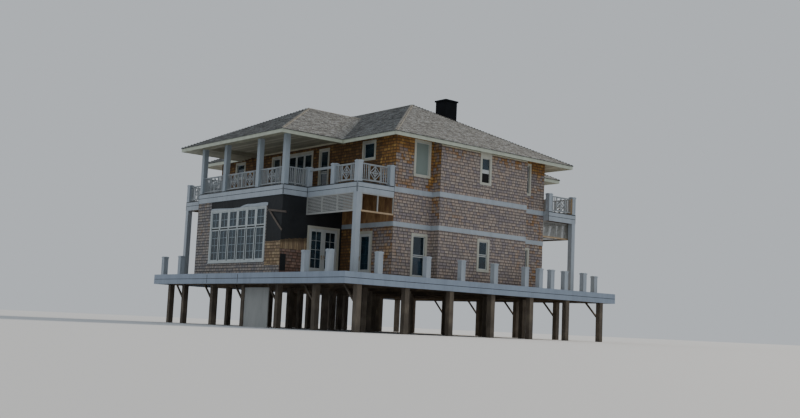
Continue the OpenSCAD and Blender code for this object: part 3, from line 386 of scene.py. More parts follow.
def asphalt_material(name, codes, dark_code="#3a3937"):
    """Laminated asphalt shingles: mineral granules on dark felt, blended tabs, and painted shade on the left
    slopes.
    """
    material, tree, shader, place = begin(name, 0.95)
    shade = add(tree, "ShaderNodeAttribute", output="Fac", attribute_name="shade")
    slope_shade_and_blotch = add(tree, "ShaderNodeAttribute", output="Fac", attribute_name="slope_shade_and_blotch")
    # Granules of about 2 mm lie in drifts, and both are drawn coarser so that they show
    drift = add(tree, "ShaderNodeTexNoise", {"Vector": place, "Scale": per_metre(110), "Detail": 2.0})
    grit = add(tree, "ShaderNodeTexNoise", {"Vector": place, "Scale": per_metre(14), "Detail": 3.0})
    tone = add(tree, "ShaderNodeMath", {0: shade, 1: 0.3}, operation="MULTIPLY")
    tone = add(tree, "ShaderNodeMath", {0: drift, 1: 1.3, 2: tone}, operation="MULTIPLY_ADD")
    tone = add(tree, "ShaderNodeMath", {0: tone, 1: 0.3}, operation="SUBTRACT")
    # The left slopes are blotched more strongly, in patches of about 400 mm
    blotch = add(tree, "ShaderNodeTexNoise", {"Vector": place, "Scale": per_metre(400), "Detail": 1.0})
    patchy = add(tree, "ShaderNodeMath", {0: blotch, 1: 0.5}, operation="SUBTRACT")
    patchy = add(tree, "ShaderNodeMath", {0: patchy, 1: slope_shade_and_blotch}, operation="MULTIPLY")
    tone = add(tree, "ShaderNodeMath", {0: patchy, 1: 1.2, 2: tone}, operation="MULTIPLY_ADD")
    colour = add(tree, "ShaderNodeValToRGB", {0: tone}, stops=codes)
    colour = tinted(tree, colour, dark_code, grit, 0.4, 0.66, 0.3)
    # Painted shade: the left slopes are darker, as slopes turned from the light
    painted_slope_shade = add(tree, "ShaderNodeMath", {0: slope_shade_and_blotch, 1: 0.3}, operation="MULTIPLY")
    colour = add(tree, "ShaderNodeMix", {FACTOR: painted_slope_shade, FIRST: colour, SECOND: dark_code}, **BLEND)
    surface(tree, shader, colour, grit, 0.004)
    return material


def paint_material(name, code, dirt_code, roughness=0.5, dirt=0.35, shade_codes=None):
    """Brushed exterior paint on wood: faint brush marks, with dirt in soft upright streaks."""
    material, tree, shader, place = begin(name, roughness)
    colour = code
    if shade_codes:
        shade = add(tree, "ShaderNodeAttribute", output="Fac", attribute_name="shade")
        colour = add(tree, "ShaderNodeValToRGB", {0: shade}, stops=shade_codes)
    streak_place = add(tree, "ShaderNodeMapping", {"Vector": place, "Scale": (1.0, 1.0, 0.25)})
    streaks = add(tree, "ShaderNodeTexNoise",
                  {"Vector": streak_place, "Scale": per_metre(420), "Detail": 6.0, "Roughness": 0.65})
    colour = tinted(tree, colour, dirt_code, streaks, 0.42, 0.75, dirt)
    # Brush marks of about 1 mm, drawn as 30 mm so that they show
    brush = add(tree, "ShaderNodeTexNoise", {"Vector": place, "Scale": per_metre(30), "Detail": 5.0})
    surface(tree, shader, colour, brush, 0.0015)
    return material


def timber_material(name, codes, dark_code, axis, grain_mm):
    """Sawn pine or cedar left bare: long grain along one axis, boards of several tones, dark knots.

    Its grain is drawn coarser than the few millimetres of the real one, so that it shows.
    """
    material, tree, shader, place = begin(name, 0.8)
    stretch = [1.0, 1.0, 1.0]
    stretch[axis] = 0.06
    grain_place = add(tree, "ShaderNodeMapping", {"Vector": place, "Scale": stretch})
    grain = add(tree, "ShaderNodeTexNoise",
                {"Vector": grain_place, "Scale": per_metre(grain_mm), "Detail": 5.0, "Distortion": 0.6})
    blotch = add(tree, "ShaderNodeTexNoise", {"Vector": place, "Scale": per_metre(900), "Detail": 3.0})
    shade = add(tree, "ShaderNodeAttribute", output="Fac", attribute_name="shade")
    tone = add(tree, "ShaderNodeMath", {0: shade, 1: 0.4, 2: blotch}, operation="MULTIPLY_ADD")
    tone = add(tree, "ShaderNodeMath", {0: tone, 1: 0.15}, operation="SUBTRACT")
    colour = add(tree, "ShaderNodeValToRGB", {0: tone}, stops=codes)
    colour = tinted(tree, colour, dark_code, grain, 0.4, 0.68, 0.5)
    spots = add(tree, "ShaderNodeTexVoronoi", {"Vector": place, "Scale": per_metre(650)})
    knot = add(tree, "ShaderNodeMapRange",
               {"Value": spots, "From Min": 0.02, "From Max": 0.06, "To Min": 0.8, "To Max": 0.0})
    colour = add(tree, "ShaderNodeMix", {FACTOR: knot, FIRST: colour, SECOND: dark_code}, **BLEND)
    surface(tree, shader, colour, grain, 0.003)
    return material


def building_paper_material():
    """Asphalt-saturated felt: nearly black and dull, wrinkled between its staples, with dust on it."""
    material, tree, shader, place = begin("asphalt_saturated_felt", 0.72)
    wrinkle_place = add(tree, "ShaderNodeMapping", {"Vector": place, "Scale": (1.0, 1.0, 0.5)})
    wrinkle = add(tree, "ShaderNodeTexNoise",
                  {"Vector": wrinkle_place, "Scale": per_metre(480), "Detail": 4.0, "Distortion": 1.2})
    dust = add(tree, "ShaderNodeTexNoise", {"Vector": place, "Scale": per_metre(1500), "Detail": 5.0})
    colour = add(tree, "ShaderNodeValToRGB", {0: dust}, stops=("#0b0f13", "#11151a", "#1a1e22", "#15191d"))
    surface(tree, shader, colour, wrinkle, 0.03)
    return material


def chimney_material():
    """Painted sheet steel: matt black, a little chalky, with faint dents."""
    material, tree, shader, place = begin("painted_sheet_steel", 0.7)
    shader.inputs["Specular IOR Level"].default_value = 0.15
    cloud = add(tree, "ShaderNodeTexNoise", {"Vector": place, "Scale": per_metre(380), "Detail": 5.0})
    colour = add(tree, "ShaderNodeValToRGB", {0: cloud}, stops=("#03060a", "#060a10", "#0a1018"))
    surface(tree, shader, colour, cloud, 0.012)
    return material


def glass_material():
    """Clear float glass in dark rooms: a grey-blue tint drawn strong as a painted reflection, sharp
    reflections and slight waves.
    """
    material, tree, shader, place = begin("float_glass_painted_reflection", 0.04)
    shader.inputs["IOR"].default_value = 1.5
    shader.inputs["Transmission Weight"].default_value = 0.7
    cloud = add(tree, "ShaderNodeTexNoise", {"Vector": place, "Scale": per_metre(900), "Detail": 2.0})
    # Painted reflection: a mottled grey-blue in the glass's own colour
    colour = add(tree, "ShaderNodeValToRGB", {0: cloud}, stops=("#223c4b", "#305163", "#42657a"))
    surface(tree, shader, colour, cloud, 0.004, 0.4)
    return material


def brass_material():
    """Brushed brass for handles, with scratches drawn as 25 mm so that they show."""
    material, tree, shader, place = begin("brushed_brass_handle", 0.3, metallic=1.0)
    scratch = add(tree, "ShaderNodeTexNoise", {"Vector": place, "Scale": per_metre(25), "Detail": 6.0})
    colour = tinted(tree, "#b08d4f", "#6c6c68", scratch, 0.0, 1.0, 0.35)
    surface(tree, shader, colour, scratch, 0.001)
    return material


# Places, all worked out from the frame

def low(node):
    """The lowest corner of a node's box."""
    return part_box(node)[0]


def high(node):
    """The highest corner of a node's box."""
    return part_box(node)[1]


# Outer faces of the core, of the wings and of the front wall's three stretches, and the bay's half width
CORE_X = high("side_walls_upper")[0]
HALF_Y = high("back_wall_lower")[1]
WING_X = high("wing_end_walls")[0]
WING_Y = high("wing_side_walls")[1]
FRONT_A = low("front_walls_lower")[1]
FRONT_BAY = low("front_bay_lower")[1]
FRONT_C = max(box[0][1] for box in solids("front_walls_lower"))
BAY_X = high("front_bay_lower")[0]
# Heights of the floors, of the undersides and of the eaves
DECK_Z = high("main_floor")[2]
UPPER_Z = high("upper_floor")[2]
FLOOR_LOW = low("upper_floor")[2]
CEILING_Z = low("ceiling")[2]
EAVE_FOOT = low("main_roof")[2]
EDGE_LOW = low("balcony_edge")[2]
# Half the length and width of each roof at its eaves
CORE_ROOF = high("main_roof")[:2]
WING_ROOF = high("wing_roofs")[:2]
CASING = 0.028
# From a roof's edge to the foot of the sloping soffit behind its eave board
SOFFIT_SET = 0.07
SOFFIT_T = 0.012
SOFFIT_RUN = (CEILING_Z - EAVE_FOOT) / PITCH
BAY_RUN = CORE_ROOF[1] - SOFFIT_SET + FRONT_BAY
BAY_TOP = EAVE_FOOT + PITCH * BAY_RUN
# The porches' frieze: its height and distance from their ends. The bay's: its foot and head, and thickness
FRIEZE = 0.11
FRIEZE_SET = 0.3
# Above the bay's frieze the black felt is left bare up to the soffit, as a painted shadow under the eave
BAY_FRIEZE = (BAY_TOP - 0.195, BAY_TOP - 0.125)
BAY_FRIEZE_T = 0.02

BOARD = board_unit()
SHINGLE = shingle_unit()
CAP = cap_unit()

SHELTERED_CEDAR = ("#8e6530", "#ba8c48", "#d2a45c", "#a2753f")
FRAMING_PINE = ("#5a4d3e", "#75644f", "#8b7860")
cedar = cedar_material("split_cedar_weathered", ("#9b9192", "#a99c95", "#bcaea4", "#a29893", "#b9a89d"),
                       "#2c2826", SHELTERED_CEDAR)
silvered_cedar = cedar_material("split_cedar_silvered",
                                ("#8b888b", "#98928f", "#a9a29c", "#908d8c", "#a69c95"),
                                "#242322", SHELTERED_CEDAR, 0.85)
new_cedar = cedar_material("split_cedar_new", ("#8f7a62", "#a89170", "#b9a484", "#9b8365", "#8a745f"),
                           "#3d3122")
old_cedar = cedar_material("split_cedar_reddened", ("#85695c", "#977769", "#a58777", "#8f776d", "#836f66"),
                           "#2c221b")
asphalt = asphalt_material("asphalt_laminated_granules",
                           ("#46494c", "#66645e", "#71767a", "#85847e", "#969b9f"))
cap_asphalt = asphalt_material("asphalt_hip_caps", ("#8b877e", "#9b978d", "#a6a196"), "#6b6860")
# One white enamel in copies with light painted in: the trim's grey-blue is painted sky shade, the columns,
# railings and deck edge have darker copies with painted shade, and the casings a warmer, lighter copy with
# painted bounce light
trim_paint = paint_material("exterior_trim_enamel", "#a7b1bb", "#727a83")
shaded_column_paint = paint_material("column_enamel_painted_shade", "#9eaab4", "#6b747d")
shaded_railing_paint = paint_material("railing_enamel_painted_shade", "#989fa4", "#62686d")
bounce_lit_casing_paint = paint_material("casing_enamel_painted_bounce_light", "#b9baaf", "#838378")
wall_frame_paint = paint_material("window_wall_enamel", "#b9c1c3", "#81888a")
shaded_deck_edge_paint = paint_material("deck_edge_enamel_painted_shade", "#92a0b2", "#626c79")
fascia_paint = paint_material("eave_board_enamel", "#bbc2b2", "#807f74")
# Painted shadow for the joints of the floor edges
joint_painted_shadow = paint_material("board_joint_painted_shadow", "#1c2126", "#12161a")
frieze_paint = paint_material("frieze_board_enamel", "#bfbda9", "#8b8977")
porch_beam_paint = paint_material("porch_beam_enamel", "#a3a291", "#6f6c5e")
screen_cloth = paint_material("woven_insect_screen", "#7d8a86", "#69756f", 0.8, 0.3)
black_screen_and_room_shade = paint_material("black_insect_screen_and_room_shade", "#06080a", "#0b0d10", 0.9, 0.3)
ceiling_paint = paint_material("porch_ceiling_paint", "#bcbcab", "#726d5e", 0.6, 0.5,
                               ("#a6a696", "#bcbcab", "#c8c7b8"))
louvre_paint = paint_material("louvre_grey_paint", "#a7a9a7", "#7a7d7b", 0.55, 0.4)
door_paint = paint_material("door_enamel", "#bfc4c4", "#85888a", 0.35, 0.2)
bar_paint = paint_material("glazing_bar_enamel", "#93a3ac", "#707b82", 0.4, 0.2)
bare_trim = paint_material("primed_trim_board", "#b9a283", "#8a7355", 0.7, 0.4)
piles_wood = timber_material("treated_pine_posts", ("#5f564b", "#776c5e", "#8a7e6e"), "#3a332b", 2, 30)
beam_wood = timber_material("treated_pine_beams", FRAMING_PINE, "#372d22", 1, 30)
joist_wood = timber_material("treated_pine_joists", FRAMING_PINE, "#372d22", 0, 30)
deck_wood = timber_material("decking_weathered_pine", ("#7c7468", "#968d7e", "#a9a091"), "#544c42", 1, 20)
plank_wood = timber_material("bare_cedar_planks", ("#7a583a", "#96734c", "#ae8a5e", "#846243"),
                             "#46301c", 2, 24)
grey_batten = timber_material("weathered_batten", ("#5b524c", "#6f655c", "#7d7268"), "#3a322c", 1, 24)
felt = building_paper_material()
black_steel = chimney_material()
glass = glass_material()
brass = brass_material()


def dress_cad_nodes():
    """Gives each node of the construction model its finish."""
    finishes = {
        piles_wood: ["piles", "knee_braces"],
        beam_wood: ["girders", "balcony_beams"],
        joist_wood: ["joists"],
        deck_wood: ["main_floor"],
        plank_wood: ["upper_floor"],
        trim_paint: ["deck_newels", "balcony_edge", "trim_bands", "porch_posts", "balcony_newels"],
        shaded_column_paint: ["upper_columns"],
        shaded_railing_paint: ["railings"],
        porch_beam_paint: ["porch_beams"],
        bounce_lit_casing_paint: ["window_frames", "door_frames"],
        wall_frame_paint: ["window_wall_frames"],
        shaded_deck_edge_paint: ["deck_edge"],
        fascia_paint: ["eave_boards"],
        ceiling_paint: ["ceiling"],
        louvre_paint: ["porch_louvres", "breakaway_panel"],
        felt: ["front_walls_lower", "front_bay_lower", "bay_cheeks", "back_wall_lower", "porch_side_walls",
               "side_door_wall", "french_door_wall", "door_lintels", "wing_end_walls", "wing_side_walls",
               "front_walls_upper", "front_bay_upper", "back_wall_upper", "side_walls_upper",
               "window_wall_posts"],
        asphalt: ["main_roof", "wing_roofs"],
        black_steel: ["chimney", "chimney_cap"],
        glass: ["window_wall_glass", "window_glass_lower", "window_glass_upper", "french_glass_left",
                "french_glass_right", "side_door_glass"],
        door_paint: ["french_door_left", "french_door_right", "side_door"],
    }
    for material, names in finishes.items():
        for name in names:
            mesh = nodes[name].data
            mesh.materials.clear()
            mesh.materials.append(material)


# Shingled walls

# Where the shelter and the porch's painted shade change: on the front wall far from the bay and near it,
# and on the core's left wall, above and on the porch below
DRY_X = -4.75
BESIDE_BAY_X = -3.8
DRY_CORNER_Y = FRONT_A + 1.3
DARK_PORCH_Y = -6
# Where a roof keeps a wall dry: axis, face, from, to, foot, height that it fades in over, and amount;
# an amount past 1 also paints the shade deep in a porch
SHELTER_AND_PORCH_SHADE = (
    (1, FRONT_A, -CORE_X, DRY_X, CEILING_Z - 2.0, 1.8, 1.05),
    (1, FRONT_A, -CORE_X, DRY_X, UPPER_Z - 0.5, 0.5, 0.3),
    (1, FRONT_A, DRY_X, -BAY_X, CEILING_Z - 2.1, 1.5, 0.95),
    (1, FRONT_BAY, -BAY_X, BAY_X, BAY_TOP - 1.2, 0.9, 0.38),
    (1, FRONT_A, BESIDE_BAY_X, -BAY_X, UPPER_Z - 0.2, 0.35, 0.75),
    (0, -BAY_X, FRONT_BAY, FRONT_A, UPPER_Z, 0.35, 0.5),
    (0, -BAY_X, FRONT_BAY, FRONT_A, DECK_Z + 2.9, 0.35, 0.45),
    (1, FRONT_C, BAY_X, CORE_X, CEILING_Z - 1.7, 1.2, 0.8),
    (1, FRONT_C, BAY_X, CORE_X, DECK_Z - 1, 0.35, 0.25),
    (0, -CORE_X, FRONT_A, DRY_CORNER_Y, UPPER_Z + 0.4, 1.2, 1.05),
    (0, -CORE_X, FRONT_A, DRY_CORNER_Y, UPPER_Z - 0.5, 0.35, 0.5),
    (0, -CORE_X, DRY_CORNER_Y, HALF_Y, UPPER_Z - 0.5, 0.35, 1.55),
    (0, -CORE_X, FRONT_A, DARK_PORCH_Y, DECK_Z - 1, 0.35, 0.3),
    (0, -CORE_X, DARK_PORCH_Y, -WING_Y, DECK_Z - 1, 0.35, 1.5),
    (0, CORE_X, FRONT_C, HALF_Y, UPPER_Z - 0.5, 0.35, 1.4),
    (1, HALF_Y, -CORE_X, CORE_X, CEILING_Z - 1.2, 0.9, 0.6),
)

# The left wing's unfinished stretch: bare felt beside its window wall, and new shingles at its corner
FELT_TOP_Y = 2.93
FELT_FROM = high("window_wall_frames")[2]
PATCH_Y = -3.05
PATCH_TOP = 4.66
OLD_FOOT_TOP = DECK_Z + 2.5 * COURSE
# The patch's last course, of upright shingles: foot, head at the corner, rise for each metre, and widths
HEAD_COURSE_FOOT = DECK_Z + 8 * COURSE
HEAD_COURSE_TOP = 4.74
HEAD_COURSE_RISE = 0.11
HEAD_COURSE_WIDTHS = (0.09, 0.17)
UNEVEN_HEAD = 0.03
UNEVEN_FOOT = 0.04
# A gap in the patch that shows the felt: from, to, foot and head
BARE_SPOT = (-10.15, -9.79, 3.07, 3.97)
# Head of the band over the lower openings, and left edge of the French door's frame
BAND_TOP = DECK_Z + 2.94
FRENCH_LEFT = min(box[0][0] for box in solids("door_frames"))


def holes_on(axis, face):
    """Rectangles (from, to, foot, head) on a wall plane that casings, bands and leaves cover."""
    found = []
    across = 1 - axis
    for node in ("window_frames", "window_wall_frames", "door_frames", "trim_bands"):
        for first, last in solids(node):
            if first[axis] - 0.01 < face < last[axis] + 0.01:
                found.append((first[across], last[across], first[2], last[2]))
    return found


def shingle_rows(u0, u1, z0, z1, holes, rng):
    """Shingles of a wall rectangle as (from, to, foot, head), cut round its holes, in level courses."""
    rows = []
    first = math.floor((z0 - DECK_Z) / COURSE)
    for k in range(first, math.ceil((z1 - DECK_Z) / COURSE)):
        foot = max(DECK_Z + k * COURSE, z0)
        head = min(DECK_Z + (k + 1) * COURSE, z1)
        near = [h for h in holes if h[2] < head and h[3] > foot]
        cuts = sorted({u0, u1, *(c for h in near for c in h[:2] if u0 < c < u1)})
        for a, b in zip(cuts, cuts[1:]):
            spans = [(foot, head)]
            for h in near:
                if h[0] < (a + b) / 2 < h[1]:
                    spans = [s for f, t in spans for s in ((f, min(t, h[2])), (max(f, h[3]), t))]
            for f, t in spans:
                if t - f < LEAST_HEIGHT:
                    continue
                u = a - rng.uniform(0, SHINGLE_WIDTHS[0])
                while u < b - LAST_START:
                    width = rng.uniform(*SHINGLE_WIDTHS)
                    rows.append((max(u, a), min(u + width - SHINGLE_GAP, b), f, t))
                    u += width
    return [r for r in rows if r[1] - r[0] > LEAST_WIDTH]


def shingle_wall(rows, axis, sign, face, rng):
    """Corners and edges of the shingles of one wall: origins, across, up and out."""
    n = len(rows)
    origins = np.zeros((n, 3))
    origins[:, axis] = face
    origins[:, 1 - axis] = rows[:, 0]
    origins[:, 2] = rows[:, 2] + rng.uniform(-UNEVEN, UNEVEN, n)
    across = np.zeros((n, 3))
    across[:, 1 - axis] = rows[:, 1] - rows[:, 0]
    # A mirrored unit would turn its faces inwards, so the run starts from its other end
    if (axis == 0) == (sign > 0):
        origins[:, 1 - axis] = rows[:, 1]
        across = -across
    up = np.zeros((n, 3))
    up[:, 2] = rows[:, 3] - rows[:, 2] + TUCK
    out = np.zeros((n, 3))
    out[:, axis] = sign * SHINGLE_BUTT * rng.uniform(*BUTT_SPREAD, n)
    return origins, across, up, out


def shelter_and_porch_shade_of(axis, face, rows):
    """How much the eaves shelter each shingle of a wall: 0 in the open; past 1 it paints a porch's shade."""
    middle, foot = (rows[:, 0] + rows[:, 1]) / 2, rows[:, 2]
    value = np.zeros(len(rows))
    for side, plane, first, last, start, fade, amount in SHELTER_AND_PORCH_SHADE:
        if side == axis and abs(plane - face) < 0.01:
            rise = np.clip((foot - start) / fade, 0, 1)
            value = np.maximum(value, amount * rise * (first < middle) * (middle < last))
    return value


def shingled(name, walls, seed, material=cedar):
    """One mesh of the shingles of wall rectangles: (axis, side, face, from, to, foot, head, holes)."""
    rng = np.random.default_rng(seed)
    parts = []
    for axis, sign, face, u0, u1, z0, z1, extra in walls:
        holes = holes_on(axis, face) + list(extra)
        rows = np.array(shingle_rows(u0, u1, z0, z1, holes, rng))
        parts.append((*shingle_wall(rows, axis, sign, face, rng), shelter_and_porch_shade_of(axis, face, rows)))
    *stacked, shelter = (np.concatenate([p[i] for p in parts]) for i in range(5))
    laid(name, SHINGLE, *stacked, material, "cedar_shingle", rng, {"shelter": shelter})


def wall_shingles():
    """The shingles of every wall; at outer corners they lap past each other by the thickness of a butt."""
    t = SHINGLE_BUTT
    front = [
        (1, -1, FRONT_A, -CORE_X - t, -BAY_X, DECK_Z, CEILING_Z, ()),
        # The bay's front shingles stop at its frieze; the bare felt above it is a painted shadow
        (1, -1, FRONT_BAY, -BAY_X - t, BAY_X + t, DECK_Z, BAY_FRIEZE[0], ()),
        (1, -1, FRONT_C, BAY_X, CORE_X + t, DECK_Z, CEILING_Z, ()),
        (0, -1, -BAY_X, FRONT_BAY, FRONT_A, DECK_Z, BAY_TOP, ()),
        (0, 1, BAY_X, FRONT_BAY, FRONT_C, DECK_Z, BAY_TOP, ()),
    ]
    shingled("shingles_front", front, 11)
    shingled("shingles_back", [(1, 1, HALF_Y, -CORE_X - t, CORE_X + t, DECK_Z, CEILING_Z, ())], 12)
    sides = []
    for sign, front_y in ((-1, FRONT_A), (1, FRONT_C)):
        sides += [
            (0, sign, sign * CORE_X, front_y, HALF_Y, UPPER_Z, CEILING_Z - FRIEZE, ()),
            (0, sign, sign * CORE_X, front_y, -WING_Y, DECK_Z, BAND_TOP - CLEAR, ()),
            (0, sign, sign * CORE_X, WING_Y, HALF_Y, DECK_Z, BAND_TOP - CLEAR, ()),
        ]
    shingled("shingles_core_sides", sides, 13)
    bare = [(-WING_Y - t, FELT_TOP_Y, FELT_FROM, UPPER_Z), (-WING_Y - t, PATCH_Y, OLD_FOOT_TOP, UPPER_Z)]
    wings = [
        (0, -1, -WING_X, -WING_Y - t, WING_Y + t, DECK_Z, EDGE_LOW, bare),
        (0, 1, WING_X, -WING_Y - t, WING_Y + t, DECK_Z, EDGE_LOW, ()),
        (1, 1, WING_Y, -WING_X - t, -CORE_X, DECK_Z, FLOOR_LOW, ()),
        (1, 1, WING_Y, CORE_X, WING_X + t, DECK_Z, FLOOR_LOW, ()),
        (1, -1, -WING_Y, CORE_X, WING_X + t, DECK_Z, FLOOR_LOW, ()),
    ]
    shingled("shingles_wings", wings, 14, silvered_cedar)
    patch = [(0, -1, -WING_X, -WING_Y - t, PATCH_Y, OLD_FOOT_TOP, PATCH_TOP, ())]
    shingled("shingles_new_patch", patch, 15, new_cedar)
    old = [(1, -1, -WING_Y, -WING_X - t, FRENCH_LEFT, DECK_Z, HEAD_COURSE_FOOT, [BARE_SPOT])]
    shingled("shingles_reddened_patch", old, 16, old_cedar)
    head_course()


def head_course():
    """The patch's last course on the wing's front: long upright shingles, taller towards the right."""
    rng = np.random.default_rng(17)
    rows = []
    u = -WING_X - SHINGLE_BUTT
    while u < FRENCH_LEFT - 0.05:
        end = min(u + rng.uniform(*HEAD_COURSE_WIDTHS), FRENCH_LEFT)
        head = HEAD_COURSE_TOP + HEAD_COURSE_RISE * (u + WING_X) + rng.uniform(-UNEVEN_HEAD, UNEVEN_HEAD)
        rows.append((u, end - SHINGLE_GAP, HEAD_COURSE_FOOT - rng.uniform(0, UNEVEN_FOOT), head))
        u = end
    parts = shingle_wall(np.array(rows), 1, -1, -WING_Y, rng)
    laid("shingles_head_course", SHINGLE, *parts, new_cedar, "cedar_shingle", rng)


# Roofs

def hip_height(half, x, y):
    """Height of a hipped roof over its eaves at a place."""
    return PITCH * min(half[0] - abs(x), half[1] - abs(y))


def slope_tabs(half, other, rng):
    """Tabs of a hipped roof's slopes, where the other roof doesn't hide them.

    Each is (axis, side, from, to, foot, head, depth). Its foot and head are level distances from the eave,
    and its depth is the distance of the eave from the roof's middle.
    """
    found = []
    steep = math.hypot(1, PITCH)
    for axis, sign in ((0, -1), (0, 1), (1, -1), (1, 1)):
        depth, reach = half[axis], half[1 - axis]
        run = min(depth, reach)
        for k in range(math.ceil(run * steep / ROOF_COURSE)):
            foot = k * ROOF_COURSE / steep
            head = min((k + 1) * ROOF_COURSE / steep, run)
            u = -reach + foot - rng.uniform(0, 0.2)
            while u < reach - foot:
                width = rng.uniform(*TAB_WIDTHS)
                a, b = max(u, -reach + foot), min(u + width - TAB_GAP, reach - foot)
                u += width
                if b - a < LEAST_TAB:
                    continue
                centre = [0, 0]
                centre[axis] = sign * (depth - (foot + head) / 2)
                centre[1 - axis] = (a + b) / 2
                if hip_height(other, *centre) > PITCH * head + TAB_COVER:
                    continue
                found.append((axis, sign, a, b, foot, head, depth))
    return found


def roof(name, half, other, base, seed):
    """The tabs of one hipped roof; those of its left slope get painted shade and more blotches."""
    rng = np.random.default_rng(seed)
    found = slope_tabs(half, other, rng)
    origins, across, up, out = (np.zeros((len(found), 3)) for _ in range(4))
    steep = math.hypot(1, PITCH)
    for i, (axis, sign, a, b, foot, head, depth) in enumerate(found):
        start, end = (b, a) if (axis == 0) == (sign > 0) else (a, b)
        origins[i, axis] = sign * (depth - foot)
        origins[i, 1 - axis] = start
        origins[i, 2] = base + PITCH * foot
        across[i, 1 - axis] = end - start
        up[i, axis] = -sign * (head - foot + TAB_LAP)
        up[i, 2] = PITCH * (head - foot + TAB_LAP)
        thick = TAB_T * rng.uniform(*TAB_SPREAD)
        out[i, axis] = sign * thick * PITCH / steep
        out[i, 2] = thick / steep
    # The left slopes get painted shade and more blotches
    slope_shade_and_blotch = [float(axis == 0 and sign < 0) for axis, sign, *_ in found]
    laid(name, SHINGLE, origins, across, up, out, asphalt, "asphalt_shingle", rng, {"slope_shade_and_blotch": slope_shade_and_blotch})


def cap_run(start, end, slope_drop, inset=0.0):
    """Caps laid along a hip or ridge, from its low end to its high end."""
    start, end = Vector(start), Vector(end)
    along = (end - start).normalized()
    start += along * inset
    side = along.cross(Vector((0, 0, 1))).normalized()
    normal = side.cross(along).normalized()
    n = max(1, round((end - start).length / CAP_STEP))
    step = (end - start) / n
    rows = []
    for i in range(n):
        middle = start + step * (i + 0.5) + normal * CAP_LIFT
        rows.append((middle, side * CAP_W, step * CAP_LAP, normal * slope_drop))
    return rows


def roof_caps(core, wing, base):
    """Caps on every hip and ridge of both roofs."""
    core_ridge = core[1] - core[0]
    wing_ridge = wing[0] - wing[1]
    top, wing_top = base + PITCH * core[0], base + PITCH * wing[1]
    meet = core[0] - wing[1]
    hip_drop = CAP_W / 2 * PITCH / math.sqrt(2 + PITCH ** 2)
    ridge_drop = CAP_W / 2 * PITCH
    rows = []
    for sx in (-1, 1):
        wing_end = (sx * wing_ridge, 0, wing_top)
        for sy in (-1, 1):
            core_end = (0, sy * core_ridge, top)
            rows += cap_run((sx * core[0], sy * core[1], base), core_end, hip_drop, CAP_SET)
            rows += cap_run((sx * wing[0], sy * wing[1], base), wing_end, hip_drop, CAP_SET)
        rows += cap_run(wing_end, (sx * meet, 0, wing_top), ridge_drop)
    rows += cap_run((0, -core_ridge, top), (0, core_ridge, top), ridge_drop)
    placed = (np.array([list(r[i]) for r in rows]) for i in range(4))
    points, faces = CAP
    unit = (points[:, [0, 2, 1]], faces)
    laid("roof_caps", unit, *placed, cap_asphalt, "asphalt_shingle", np.random.default_rng(5))


def roofs():
    """Tabs and caps of both roofs, laid over the eave boards."""
    base = high("eave_boards")[2] + ROOF_SKIN
    roof("roof_tabs_core", CORE_ROOF, WING_ROOF, base, 21)
    roof("roof_tabs_wings", WING_ROOF, CORE_ROOF, base, 22)
    roof_caps(CORE_ROOF, WING_ROOF, base)


# Soffits under the eaves, friezes and the painted shadow in the joints of the floor edges

# Heights of the joints between the edge boards, and sizes of the painted shadow in those, in the corners
# and along the balconies' lip
DECK_JOINT = 2.655
BALCONY_JOINT = 7.455
EDGE_JOINT = 0.034
CORNER_JOINT = 0.032
EDGE_LIP = 0.055
# How deep a joint's painted shadow is sunk in its board, and how far it stands out so that it shows
JOINT_DEPTH = 0.015
JOINT_PROUD = 0.002
# Where two boards of the deck's left edge meet, and half the width of their joint
DECK_BUTTS = (2.47, -0.87)
BUTT_HALF = 0.03


def climbing_boards(axis, sign, foot, first, last, run, ends):
    """Boards side by side up the underside of an eave, in the form that laid takes.

    They lie between two places along the eave. An end is 1 at a hip, where the rows draw in as they climb,
    -1 at a valley, where they reach out, and 0 at a wall.
    """
    found = []
    for k in range(math.ceil(run / SOFFIT_BOARD - 0.05)):
        near, far = k * SOFFIT_BOARD, min((k + 1) * SOFFIT_BOARD, run)
        a, b = (place - turn * side * (far if turn < 0 else near)
                for place, turn, side in ((first, ends[0], -1), (last, ends[1], 1)))
        start, end = (a, b) if (axis == 0) == (sign > 0) else (b, a)
        origin, across, up = [0, 0, EAVE_FOOT + PITCH * near], [0, 0, 0], [0, 0, 0]
        origin[axis], origin[1 - axis] = sign * (foot - near), start
        across[1 - axis] = end - start
        width = far - near - BOARD_GAP
        up[axis], up[2] = -sign * width, PITCH * width
        found.append((origin, across, up, [0, 0, -SOFFIT_T]))
    return found


